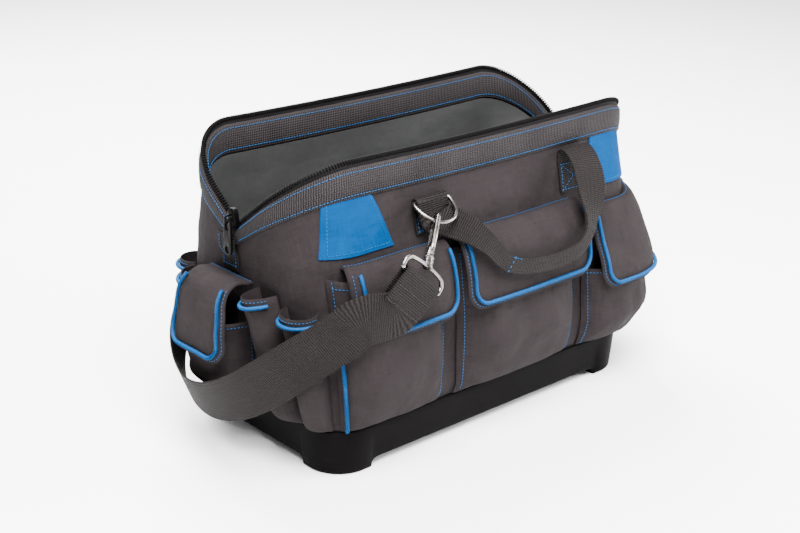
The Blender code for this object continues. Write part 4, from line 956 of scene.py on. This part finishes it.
def ribbon(name, rows, material, rib=0.00008, ribs=0.0046):
    """A flat strip with rounded, ribbed faces; a row is a centre, a width direction, a span and a wall."""
    rings = []
    centres = np.array([row[0] for row in rows])
    for index, (centre, width, span, wall) in enumerate(rows):
        forward = unit(centres[min(len(rows) - 1, index + 1)] - centres[max(0, index - 1)])
        across = unit(width - forward * np.dot(width, forward))
        thick = np.cross(forward, across)
        ring = []
        for turned in np.linspace(0, 2 * math.pi, 56, endpoint=False):
            place = abs(math.cos(turned)) ** 0.85 * math.copysign(1, math.cos(turned)) * span / 2
            high = math.copysign(min(1.0, abs(math.sin(turned)) * 3.2) ** 0.7, math.sin(turned))
            wave = rib * math.cos(2 * math.pi * place / ribs) * min(1.0, abs(math.sin(turned)) * 3)
            ring.append(centre + across * place + thick * high * (wall / 2 - rib + wave))
        rings.append(ring)
    return loft(name, rings, material, smooth=70)


def handle_rows(turn):
    station, bar = bar_place(turn)
    outward, along = outward_at(station), along_at(station)
    lie, bottom = 0.0006 + WEB_THICKNESS / 2, PATCH_BOTTOM * BAR_Z
    fold = WIRE + 0.0003 + WEB_THICKNESS / 2
    rows = []
    for share in (0.0, 0.25, 0.5, 0.75):
        rows.append((*body_point(station, bottom + (bar[2] - bottom) * share, lie), *along, 0.0))
    for turned in np.linspace(0, math.pi, 9):
        place = bar - outward * fold * math.cos(turned) + np.array([0.0, 0.0, fold * math.sin(turned)])
        rows.append((*place, *along, 0.0))
    for share, height, out, lengthways, outwards, up, grip in smooth_path(HANDLE_ROWS, 2):
        place = share * QUARTER + turn
        centre = body_point(place, height * BAR_Z, out * WEB_WIDTH, 0.0)
        rows.append((*centre, *unit(directed(place, lengthways, outwards, up)), grip))
    last, top = RIGHT_STATION * QUARTER + turn, PATCH_TOP * BAR_Z
    for share in (1.0, 0.66, 0.33, 0.0):
        rows.append((*body_point(last, bottom + (top - bottom) * share, lie), *-along_at(last), 0.0))
    made = []
    for row in smooth_path(rows, 5):
        grip = min(1.0, max(0.0, row[6]))
        made.append((row[:3], row[3:6], WEB_WIDTH + (GRIP_WIDTH - WEB_WIDTH) * grip,
                     WEB_THICKNESS + (GRIP_THICKNESS - WEB_THICKNESS) * grip))
    return made


def boxed_cross(station, bottom, top, half, lift):
    """The paths of a stitched box with a cross in it, on a patch sewn to the body."""
    corners = [(-1, 0), (1, 0), (1, 1), (-1, 1)]
    lines = [corners + corners[:1], [corners[0], corners[2]], [corners[1], corners[3]]]
    made = []
    for line in lines:
        dense = []
        for (first, low), (second, high) in zip(line, line[1:]):
            for share in np.linspace(0, 1, 16):
                side = (first + (second - first) * share) * half
                height = bottom + (top - bottom) * (low + (high - low) * share)
                dense.append(body_point(station + side, height, lift))
        made.append(dense)
    return made


def grip_mark(rows):
    """A short line of thread up the grip and another along it, where its fold is closed."""
    lengths = run_lengths(np.array([row[0] for row in rows]))
    start = int(np.searchsorted(lengths, lengths[-1] * 0.36))
    lines = []
    for steps, shares in (((0, 1), (-0.45, 0.42)), ((0, 5), (0.42, 0.42))):
        ends = []
        for step, share in zip(steps, shares):
            centre, width, span, wall = rows[start + step]
            forward = unit(rows[start + step + 1][0] - rows[start + step - 1][0])
            across = unit(width - forward * np.dot(width, forward))
            thick = np.cross(forward, across)
            if np.dot(thick[:2], (centre - CENTRE)[:2]) < 0:
                thick = -thick
            ends.append(centre + across * span * share + thick * (wall / 2 + 0.0003))
        lines.append([ends[0] + (ends[1] - ends[0]) * share for share in np.linspace(0, 1, 8)])
    return lines


for side, turn in (("front", 0.0), ("rear", HALF)):
    rows = handle_rows(turn)
    grip = ribbon("grip_" + side, rows, webbing_look)
    keep(grip, "webbing", "handle_" + side)
    lengths = run_lengths(np.array([row[0] for row in rows]))
    low, high = (PATCH_BOTTOM + CROSS_MARGIN) * BAR_Z, (PATCH_TOP - CROSS_MARGIN) * BAR_Z
    lift = WEB_THICKNESS + 0.0009
    crosses = boxed_cross(LEFT_STATION * QUARTER + turn, low, high - CROSS_LEFT_DROP, CROSS_HALF, lift)
    crosses += boxed_cross(RIGHT_STATION * QUARTER + turn, low, high, CROSS_HALF, lift)
    crosses += grip_mark(rows)
    sewn = stitches("grip_stitches_" + side, crosses, length=0.0026, pitch=0.0036, width=0.0009)
    covered = sum(row[2] * step for row, step in zip(rows[1:], np.diff(lengths)))

# The D-rings: bent from 4 mm nickel-plated steel wire, the straight bar held in the handle's fold
# and the bow hanging outwards.
DRING_DEPTH, DRING_TILT = 0.029, math.radians(60)


def bright_metal():
    made, start = material_start("nickel_look")
    x, y, z = object_axes(start)
    brushed = start.grain(x, y, z, 420.0, 3.0)
    tarnish = start.grain(x, y, z, 70.0, 3.0)
    colour = tarnish.between(0.35, 0.75).colours((0.215, 0.200, 0.190), (0.095, 0.084, 0.078))
    return material_end(made, colour, 0.16 + tarnish * 0.16 + brushed * 0.06, brushed, 0.00004, metallic=1.0)


nickel_look = bright_metal()


def wire(name, points, radius, material, closed=False, sides=16):
    """A round wire of even thickness along a dense path."""
    points = np.asarray(points, dtype=float)
    count = len(points)
    ahead = np.roll(points, -1, axis=0) if closed else np.vstack([points[1:], points[-1:]])
    behind = np.roll(points, 1, axis=0) if closed else np.vstack([points[:1], points[:-1]])
    forward = np.array([unit(way) for way in ahead - behind])
    flat = np.linalg.svd(points - points.mean(axis=0))[2][2]
    rings = []
    for index in range(count):
        first = unit(flat - forward[index] * np.dot(flat, forward[index]))
        second = np.cross(forward[index], first)
        rings.append([points[index] + (first * math.cos(turned) + second * math.sin(turned)) * radius
                      for turned in np.linspace(0, 2 * math.pi, sides, endpoint=False)])
    return loft(name, rings, material, closed=closed, smooth=80)


def dring_point(turn, turned):
    station, bar = bar_place(turn)
    hang = outward_at(station) * math.sin(DRING_TILT) - np.array([0.0, 0.0, math.cos(DRING_TILT)])
    half = WEB_WIDTH / 2 + 0.0006 + WIRE
    reach = DRING_DEPTH * max(0.0, math.sin(turned)) ** 0.8
    return bar + along_at(station) * half * math.cos(turned) + hang * reach


def rounded(points, closed, width=9, times=3):
    """Evens out a closed or open dense path so that its corners are bent and not sharp."""
    points = np.asarray(points, dtype=float)
    for _ in range(times):
        pad = width // 2
        ends = points[-pad:] if closed else np.repeat(points[:1], pad, axis=0)
        tail = points[:pad] if closed else np.repeat(points[-1:], pad, axis=0)
        full = np.vstack([ends, points, tail])
        points = np.array([full[index:index + width].mean(axis=0) for index in range(len(points))])
    return points


for side, turn in (("front", 0.0), ("rear", HALF)):
    bow = [dring_point(turn, math.pi * step / 72) for step in range(73)]
    straight = [bow[-1] + (bow[0] - bow[-1]) * share for share in np.linspace(0, 1, 40)[1:-1]]
    ring = wire("dring_wire_" + side, rounded(bow + straight, True, 5, 2), WIRE, nickel_look, closed=True)
    keep(ring, "nickel", "dring_" + side)

# The snap hooks: cast and plated zinc.  A round eye hooks over the D-ring, with a flat sprung gate
# beside it at the front; the faceted body narrows to a swivel post with a collar.  A row holds the
# half of the bag, the place on the D-ring's bow, and how the hook and the strap's ring hang.
HOOKS = {
    "front": (0.0, math.radians(125), (-0.76, 0.62, -0.50), (-0.66, 0.10, -0.74)),
    "rear": (HALF, math.radians(100), (0.05, 0.55, -0.83), (0.30, 0.40, -0.85)),
}
HOOK_WIRE, HOOK_WIDTH, HOOK_LENGTH, HOOK_STUB = 0.0026, 0.020, 0.048, 0.020
POST_RADIUS, POST_NECK, POST_LENGTH, BOSS_LENGTH, RING_DEPTH = 0.0045, 0.0037, 0.009, 0.005, 0.014
HOOK_HALF = HOOK_WIDTH / 2 - HOOK_WIRE
HOOK_TOP = -(WIRE + HOOK_WIRE + 0.0006)
HOOK_LOW = HOOK_TOP + HOOK_LENGTH
POST_END = HOOK_LOW + POST_LENGTH


class HookFrame:
    """The axes of a snap hook: down along its length, across between its two sides."""

    def __init__(self, turn, bow, hang, ring_hang):
        station, _ = bar_place(turn)
        self.origin = dring_point(turn, bow)
        tangent = dring_point(turn, bow + 0.1) - dring_point(turn, bow - 0.1)
        self.down = unit(directed(station, *hang))
        self.normal = unit(tangent - self.down * np.dot(tangent, self.down))
        self.across = np.cross(self.normal, self.down)
        self.ring_down = unit(directed(station, *ring_hang))

    def place(self, across, down, thick=0.0):
        return self.origin + self.across * across + self.down * down + self.normal * thick


def turned_solid(name, frame_of, levels, material, sides=28, flat=6.0):
    """A solid of rounded sections down a hook; a level is down, middle, half width, half depth."""
    rings = []
    for down, middle, wide, deep in levels:
        ring = []
        for turned in np.linspace(0, 2 * math.pi, sides, endpoint=False):
            cosine, sine = math.cos(turned), math.sin(turned)
            size = (abs(cosine) ** flat + abs(sine) ** flat) ** (-1 / flat)
            ring.append(frame_of.place(middle + wide * cosine * size, down, deep * sine * size))
        rings.append(ring)
    return loft(name, rings, material, smooth=35)


def join(name, items):
    with bpy.context.temp_override(active_object=items[0], selected_editable_objects=items,
                                   object=items[0], selected_objects=items):
        bpy.ops.object.join()
    items[0].name = name
    items[0].data.name = name
    return items[0]


hook_frames = {side: HookFrame(*row) for side, row in HOOKS.items()}
for side, place in hook_frames.items():
    centre = HOOK_TOP + HOOK_HALF
    shape = [(-HOOK_HALF, centre + HOOK_WIRE)] if side == "front" else []
    shape += [(-HOOK_HALF * math.cos(t), centre - HOOK_HALF * math.sin(t))
              for t in np.linspace(0, math.pi, 40)]
    shape += [(HOOK_HALF, down) for down in np.linspace(centre + 0.001, HOOK_LOW - HOOK_STUB, 14)]
    steps = np.linspace(0.1, 1, 8)
    shape += [(HOOK_HALF * (1 - 0.25 * s), HOOK_LOW - HOOK_STUB * (1 - 0.667 * s)) for s in steps]
    shape += [(HOOK_HALF * 0.75 * (1 - s), HOOK_LOW - HOOK_STUB / 3 * (1 - s)) for s in steps]
    shape += [(-HOOK_HALF * 0.75 * s, HOOK_LOW - HOOK_STUB / 3 * s) for s in steps]
    shape += [(-HOOK_HALF * (0.75 + 0.25 * s), HOOK_LOW - HOOK_STUB * (0.333 + 0.267 * s))
              for s in np.linspace(0.15, 1, 6)]
    if side == "rear":
        shape += [(-HOOK_HALF, down) for down in np.linspace(HOOK_LOW - HOOK_STUB * 0.65, centre, 12)][:-1]
    eye = wire("hook_eye_" + side, [place.place(*point) for point in rounded(shape, side == "rear", 3, 2)],
               HOOK_WIRE, nickel_look, closed=side == "rear")
    block = turned_solid("hook_block_" + side, place, [
        (HOOK_LOW - 0.0125, 0.0, 0.0058, 0.0020), (HOOK_LOW - 0.0115, 0.0, 0.0066, 0.0027),
        (HOOK_LOW - 0.0055, 0.0, 0.0062, 0.0029), (HOOK_LOW - 0.0010, 0.0, 0.0046, 0.0033),
        (HOOK_LOW + 0.0010, 0.0, 0.0040, 0.0036)], nickel_look, flat=8.0)
    post = turned_solid("hook_post_" + side, place, [
        (HOOK_LOW - 0.0010, 0.0, 0.0034, 0.0034), (HOOK_LOW + 0.0006, 0.0, 0.0044, 0.0044),
        (HOOK_LOW + 0.0030, 0.0, POST_RADIUS, POST_RADIUS), (HOOK_LOW + 0.0036, 0.0, POST_NECK, POST_NECK),
        (HOOK_LOW + 0.0052, 0.0, POST_NECK, POST_NECK), (HOOK_LOW + 0.0058, 0.0, POST_RADIUS, POST_RADIUS),
        (POST_END - 0.0006, 0.0, POST_RADIUS, POST_RADIUS), (POST_END, 0.0, 0.0039, 0.0039)],
        nickel_look, flat=2.0)
    hook = join("hook_" + side, [eye, block, post])
    keep(hook, "nickel", "snap_hook_" + side)

front_hook = hook_frames["front"]
first, last = HOOK_TOP + HOOK_HALF + HOOK_WIRE + 0.0009, HOOK_LOW - HOOK_STUB * 0.6 - 0.0009
gate = turned_solid("gate", front_hook, [
    (first, -HOOK_HALF, 0.0010, 0.0012), (first + 0.0006, -HOOK_HALF, 0.0016, 0.0019),
    ((first + last) / 2, -HOOK_HALF, 0.0014, 0.0018), (last - 0.0040, -HOOK_HALF, 0.0016, 0.0019),
    (last - 0.0006, -HOOK_HALF, 0.0017, 0.0019), (last, -HOOK_HALF, 0.0012, 0.0014)], nickel_look, flat=5.0)
keep(gate, "nickel", "hook_gate", body="gate")

# The strap's rings: a broad wire loop on each swivel, with a turned boss that spins on the post, and
# the straight bar that the strap is sewn round.  The strap's own course, which sets how the bars lie,
# has a row for each place along, a height and a reach, and the width's direction in three parts.
STRAP_ROWS = (
    (-0.523, 0.677, 0.63, -0.8, 0.0, 0.6), (-0.573, 0.634, 0.63, -0.7, 0.0, 0.7),
    (-0.628, 0.540, 0.57, -0.4, 0.0, 0.9), (-0.682, 0.445, 0.51, -0.2, 0.1, 1.0),
    (-0.738, 0.350, 0.56, 0.0, 0.3, 1.0), (-0.786, 0.303, 0.64, 0.0, 0.4, 1.0),
    (-0.853, 0.258, 0.73, 0.0, 0.4, 0.9), (-0.964, 0.200, 0.80, 0.0, 0.5, 0.9),
    (-1.081, 0.160, 0.80, 0.0, 0.5, 0.9), (-1.160, 0.190, 0.78, 0.0, 0.4, 0.9),
    (-1.220, 0.260, 0.60, 0.0, 0.3, 1.0), (-1.290, 0.330, 0.43, 0.0, 0.2, 1.0),
    (-1.400, 0.365, 0.39, 0.0, 0.1, 1.0), (-1.500, 0.370, 0.33, 0.0, 0.0, 1.0),
    (-1.620, 0.360, 0.34, 0.0, 0.0, 1.0), (-1.740, 0.370, 0.46, 0.1, 0.0, 1.0),
    (-1.860, 0.400, 0.62, 0.3, 0.0, 1.0), (-1.970, 0.440, 0.72, 0.4, 0.0, 0.9),
    (-2.080, 0.490, 0.74, 0.5, 0.0, 0.9), (-2.170, 0.540, 0.74, 0.5, 0.0, 0.9),
    (-2.230, 0.575, 0.74, 0.5, 0.0, 0.9),
)
STRAP_WIDTH, STRAP_THICKNESS, STRAP_SWING, STRAP_OVERLAP = 0.050, 0.0022, 0.070, 0.034
strap_middle = []
for share, height, out, along, outward, up in smooth_path(STRAP_ROWS, 2):
    centre = body_point(share * QUARTER, height * BAR_Z, out * STRAP_SWING, 0.0)
    strap_middle.append((centre, directed(share * QUARTER, along, outward, up)))
bars = {}
for side, width in (("front", strap_middle[0][1]), ("rear", strap_middle[-1][1])):
    place = hook_frames[side]
    hang = place.ring_down
    across = unit(width - hang * np.dot(width, hang))
    half = STRAP_WIDTH / 2 + 0.0012 + WIRE
    base = place.place(0.0, POST_END + 0.0003 + BOSS_LENGTH) - place.down * WIRE
    corners = ((0.0, 0.0), (0.45, 0.03), (0.85, 0.15), (1.0, 0.5), (1.0, 0.88), (0.98, 1.0), (0.0, 1.0),
               (-0.98, 1.0), (-1.0, 0.88), (-1.0, 0.5), (-0.85, 0.15), (-0.45, 0.03), (0.0, 0.0))
    dense = []
    for start, end in zip(corners, corners[1:]):
        steps = 12 if abs(start[0] - end[0]) < 0.6 else 30
        for s in np.linspace(0, 1, steps, endpoint=False):
            share, drop = start[0] + (end[0] - start[0]) * s, start[1] + (end[1] - start[1]) * s
            dense.append(base + across * half * share + hang * RING_DEPTH * drop)
    loop = wire("ring_loop_" + side, rounded(dense, True, 5, 2), WIRE, nickel_look, closed=True)
    boss = turned_solid("ring_boss_" + side, place, [
        (POST_END + 0.0003, 0.0, 0.0038, 0.0038), (POST_END + 0.0008, 0.0, POST_RADIUS, POST_RADIUS),
        (POST_END + 0.0040, 0.0, POST_RADIUS, POST_RADIUS), (POST_END + 0.0053, 0.0, 0.0034, 0.0034)],
        nickel_look, flat=2.0)
    keep(join("ring_" + side, [loop, boss]), "nickel", "strap_ring_" + side)
    bars[side] = (base + hang * RING_DEPTH, across)

# The shoulder strap: 50 mm ribbed webbing, folded round the ring's bar at each end with its tail
# sewn to the inner face in dark thread, hanging in a slack turn round the bag's left end.
BLACK_THREAD = thread_look("black_thread_look", (0.008, 0.007, 0.007), (0.030, 0.027, 0.026))
STRAP_CLEAR = STRAP_OVERLAP * 1.7


def end_loop(bar, across, towards):
    """The strap's end folded round a ring's bar, its tail sewn to the inner face."""
    radius = WIRE + 0.0003 + STRAP_THICKNESS / 2
    inward = unit(towards - across * np.dot(towards, across))
    normal = unit(np.cross(inward, across))
    if np.dot(normal[:2], (bar - CENTRE)[:2]) > 0:
        normal = -normal
    turns = np.linspace(0, math.pi, 9)
    loop = [bar - inward * radius * math.sin(t) + normal * radius * math.cos(t) for t in turns]
    tail = [loop[0] + inward * STRAP_OVERLAP * share for share in (1.0, 0.75, 0.5, 0.25)]
    run = [loop[-1] + inward * STRAP_OVERLAP * share for share in (0.25, 0.5, 0.8, 1.1)]
    return [(point, across) for point in tail + loop + run], inward, normal


free = [row for row in strap_middle if min(np.linalg.norm(row[0] - bars["front"][0]),
                                           np.linalg.norm(row[0] - bars["rear"][0])) > STRAP_CLEAR]
first_loop, first_in, first_normal = end_loop(*bars["front"], free[0][0] - bars["front"][0])
last_loop, last_in, last_normal = end_loop(*bars["rear"], free[-1][0] - bars["rear"][0])
strap_rows = [(*point, *unit(way)) for point, way in first_loop + free + last_loop[::-1]]
strap_rows = smooth_path(strap_rows, 5)
place_on = np.arange(len(strap_rows))
kept_ends = 5 * (len(first_loop) - 2)
loose = np.clip((np.minimum(place_on, place_on[::-1]) - kept_ends) / 18, 0, 1)[:, None]
strap_rows = strap_rows * (1 - loose) + rounded(strap_rows, False, 21, 4) * loose
strap = ribbon("strap", [(row[:3], row[3:6], STRAP_WIDTH, STRAP_THICKNESS) for row in strap_rows],
               webbing_look, ribs=0.0050)
keep(strap, "webbing", "shoulder_strap")
sewn_lines = []
for (bar, across), inward, normal in ((bars["front"], first_in, first_normal),
                                      (bars["rear"], last_in, last_normal)):
    outer = -normal * (WIRE + 0.0003 + STRAP_THICKNESS + 0.0002)
    for share in (0.42, 0.90):
        sewn_lines.append([bar + inward * STRAP_OVERLAP * share + outer + across * STRAP_WIDTH * side
                           for side in np.linspace(-0.42, 0.42, 30)])
strap_stitches = stitches("strap_stitches", sewn_lines, thread=BLACK_THREAD)

# The zip's slider and puller: black painted zinc.  A rounded body grips the two tapes below the left
# hinge; a wire bail on its face carries a long flat puller with an eye above and a round hole below.
SLIDER = (0.007, 0.012, 0.016)
SLIDER_LEVELS = ((0.0, 0.80), (0.0012, 0.96), (0.004, 1.0), (0.010, 0.90), (0.0146, 0.72), (0.016, 0.5))
BAIL_RADIUS, BAIL_REACH, BAIL_SPAN, BAIL_FOOT = 0.001, 0.0055, 0.0065, 0.0035
PULLER_LENGTH, PULLER_WIDTH, PULLER_THICKNESS = 0.034, 0.011, 0.0024
PULLER_EYE, PULLER_HOLE, PULLER_BEVEL = (0.0055, 0.0085), 0.0033, 0.0004


def painted_metal():
    made, start = material_start("black_metal_look")
    x, y, z = object_axes(start)
    peel = start.grain(x, y, z, 700.0)
    chips = start.grain(x, y, z, 260.0, 4.0).between(0.66, 0.72)
    colour = chips.colours((0.0012, 0.0011, 0.0012), (0.012, 0.011, 0.011))
    return material_end(made, colour, peel * 0.15 + 0.30, peel, 0.00005, shine=0.03)


black_look = painted_metal()
face = -(RIM[0] + 0.0013 + 0.0003 + SLIDER[0])
slider_low = HINGE_Z - 0.0015
block_rings = []
for height, grow in SLIDER_LEVELS:
    ring = []
    for turned in np.linspace(0, 2 * math.pi, 32, endpoint=False):
        cosine, sine = math.cos(turned), math.sin(turned)
        size = (abs(cosine) ** 5 + abs(sine) ** 5) ** -0.2
        ring.append(CENTRE + (face + SLIDER[0] / 2 + SLIDER[0] / 2 * cosine * size * min(1.0, grow + 0.12),
                              SLIDER[1] / 2 * sine * size * grow, slider_low + height))
    block_rings.append(ring)
slider_block = loft("slider_block", block_rings, black_look, smooth=45)
foot = slider_low + BAIL_FOOT
bail_shape = ((0.3, 0.0), (-0.75, 0.0), (-1.0, 0.2), (-1.0, 0.8), (-0.75, 1.0), (0.3, 1.0))
bail_path = [CENTRE + (face + BAIL_REACH * out, 0.0, foot + BAIL_SPAN * up) for out, up in bail_shape]
bail_path = [start + (end - start) * s for start, end in zip(bail_path, bail_path[1:])
             for s in np.linspace(0, 1, 10, endpoint=False)] + [bail_path[-1]]
bail = wire("slider_bail", rounded(bail_path, False, 3, 2), BAIL_RADIUS, black_look)
keep(join("slider", [slider_block, bail]), "black_metal", "zip_slider")


def plate_loop(curve, points):
    spline = curve.splines.new("POLY")
    spline.points.add(len(points) - 1)
    for control, (across, up) in zip(spline.points, points):
        control.co = (across, up, 0.0, 1.0)
    spline.use_cyclic_u = True


def round_box(half_wide, low, high, radius):
    made = []
    for middle_x, middle_y, start in ((half_wide - radius, high - radius, 0.0),
                                      (-half_wide + radius, high - radius, 0.5),
                                      (-half_wide + radius, low + radius, 1.0),
                                      (half_wide - radius, low + radius, 1.5)):
        for turned in np.linspace(start, start + 0.5, 9) * math.pi:
            made.append((middle_x + radius * math.cos(turned), middle_y + radius * math.sin(turned)))
    return made


plate = bpy.data.curves.new("puller_plate", "CURVE")
plate.dimensions, plate.fill_mode = "2D", "BOTH"
plate.extrude = PULLER_THICKNESS / 2 - PULLER_BEVEL
plate.bevel_depth, plate.bevel_resolution = PULLER_BEVEL, 2
top = PULLER_THICKNESS / 2
hole = -(PULLER_LENGTH - PULLER_WIDTH / 2)
hole_radius = PULLER_HOLE + PULLER_BEVEL
plate_loop(plate, round_box(PULLER_WIDTH / 2 - PULLER_BEVEL, -PULLER_LENGTH + PULLER_BEVEL,
                            top - PULLER_BEVEL, 0.0042))
plate_loop(plate, round_box(PULLER_EYE[0] / 2 + PULLER_BEVEL, -top - PULLER_EYE[1] - PULLER_BEVEL,
                            -top + PULLER_BEVEL, 0.0016))
plate_loop(plate, [(hole_radius * math.cos(t), hole + hole_radius * math.sin(t))
                   for t in np.linspace(0, 2 * math.pi, 32, endpoint=False)])
plate_item = bpy.data.objects.new("puller_plate", plate)
bpy.context.scene.collection.objects.link(plate_item)
bpy.context.view_layer.update()
plate_mesh = bpy.data.meshes.new_from_object(plate_item.evaluated_get(bpy.context.evaluated_depsgraph_get()))
bpy.data.objects.remove(plate_item)
axis = CENTRE + (face - BAIL_REACH / 2, 0.0, slider_low + BAIL_FOOT + BAIL_SPAN * 0.42)
stand = Matrix(((0, 0, 1, axis[0]), (1, 0, 0, axis[1]), (0, 1, 0, axis[2]), (0, 0, 0, 1)))
plate_mesh.transform(stand)
plate_mesh.materials.clear()
plate_mesh.materials.append(black_look)
work = bmesh.new()
work.from_mesh(plate_mesh)
bmesh.ops.remove_doubles(work, verts=work.verts, dist=0.00002)
bmesh.ops.recalc_face_normals(work, faces=work.faces)
work.to_mesh(plate_mesh)
work.free()
plate_mesh.shade_smooth()
plate_mesh.set_sharp_from_angle(angle=math.radians(35))
puller = bpy.data.objects.new("puller_tag", plate_mesh)
bpy.context.scene.collection.objects.link(puller)
keep(puller, "black_metal", "zip_puller", body="puller")

# The zip's end tabs: short lengths of 25 mm webbing, each sewn over the tapes' ends and down onto
# the body below the hinge, with a stitched box.
TAB_WIDTH, TAB_DROP, TAB_GAP = 0.025, 0.026, 0.0005
for name, side in (("left", -1), ("right", 1)):
    station = side * (QUARTER + SLIDER[1] / 2 + TAB_WIDTH / 2 + 0.0012)
    lie = TAB_GAP + WEB_THICKNESS / 2
    over = HEM_THICKNESS / 2 - BODY_WALL / 2 + lie
    low = hem_bottom(QUARTER)
    places = ((low + TAB_DROP / 3, over), (low - TAB_DROP / 6, over), (low - TAB_DROP / 2, lie),
              (low - TAB_DROP, lie))
    rows = smooth_path([body_point(station, height, out) for height, out in places], 8)
    tab = ribbon("zip_tab_" + name, [(row, along_at(station), TAB_WIDTH, WEB_THICKNESS) for row in rows],
                 webbing_look)
    keep(tab, "webbing", "zip_end_tab_" + name)
    above = outward_at(station) * (WEB_THICKNESS / 2 + 0.0003)
    aside = along_at(station) * TAB_WIDTH
    lines = [[row + above + aside * share for row in rows[2:-2]] for share in (-0.36, 0.36)]
    lines.append([rows[-3] + above + aside * share for share in np.linspace(-0.36, 0.36, 20)])
    stitches("zip_tab_stitches_" + name, lines, width=0.0008)

# The stage: a plain pale floor, a big soft lamp above and to the left, a fainter one from the right
# and a lift from behind, and the camera that the photograph was solved for.
FLOOR_SIZE, WORLD_LIGHT = 6.0, 0.55
LAMPS = (("key", (-0.6, -0.85, 1.9), 1.3, 300.0), ("fill", (1.5, -1.1, 0.8), 1.0, 90.0),
         ("back", (0.4, 1.3, 1.7), 1.4, 230.0))
CAMERA_LENS, CAMERA_TURN, CAMERA_DIP, CAMERA_ROLL = 66.0, -42.2, 21.1, 0.9
CAMERA_PLACE = (-0.9514, -1.0215, 0.6678)
floor_mesh = bpy.data.meshes.new("floor")
floor_mesh.from_pydata([(-FLOOR_SIZE, -FLOOR_SIZE, 0), (FLOOR_SIZE, -FLOOR_SIZE, 0),
                        (FLOOR_SIZE, FLOOR_SIZE, 0), (-FLOOR_SIZE, FLOOR_SIZE, 0)], [], [(0, 1, 2, 3)])
floor_look, _ = material_start("floor_look")
floor_look.node_tree.nodes["Principled BSDF"].inputs["Base Color"].default_value = (0.93, 0.93, 0.93, 1)
floor_look.node_tree.nodes["Principled BSDF"].inputs["Roughness"].default_value = 0.9
floor_mesh.materials.append(floor_look)
floor = bpy.data.objects.new("floor", floor_mesh)
bpy.context.scene.collection.objects.link(floor)

world = bpy.data.worlds.new("studio")
bpy.context.scene.world = world
world.use_nodes = True
world.node_tree.nodes["Background"].inputs["Color"].default_value = (1.0, 1.0, 1.0, 1.0)
world.node_tree.nodes["Background"].inputs["Strength"].default_value = WORLD_LIGHT
for name, place, size, power in LAMPS:
    lamp = bpy.data.lights.new(name, "AREA")
    lamp.energy, lamp.size = power, size
    item = bpy.data.objects.new(name, lamp)
    item.location = place
    item.rotation_euler = (Vector((0.0, 0.0, 0.12)) - Vector(place)).to_track_quat("-Z", "Y").to_euler()
    bpy.context.scene.collection.objects.link(item)

camera_data = bpy.data.cameras.new("camera")
camera_data.lens, camera_data.sensor_width = CAMERA_LENS, 36.0
camera_data.clip_start, camera_data.clip_end = 0.05, 30.0
camera = bpy.data.objects.new("camera", camera_data)
camera.matrix_world = (Matrix.Translation(Vector(CAMERA_PLACE) + Vector(CENTRE))
                       @ Matrix.Rotation(math.radians(CAMERA_TURN), 4, "Z")
                       @ Matrix.Rotation(math.radians(90 - CAMERA_DIP), 4, "X")
                       @ Matrix.Rotation(math.radians(CAMERA_ROLL), 4, "Z"))
bpy.context.scene.collection.objects.link(camera)
bpy.context.scene.camera = camera
bpy.context.scene.render.resolution_x = 800
bpy.context.scene.render.resolution_y = 533
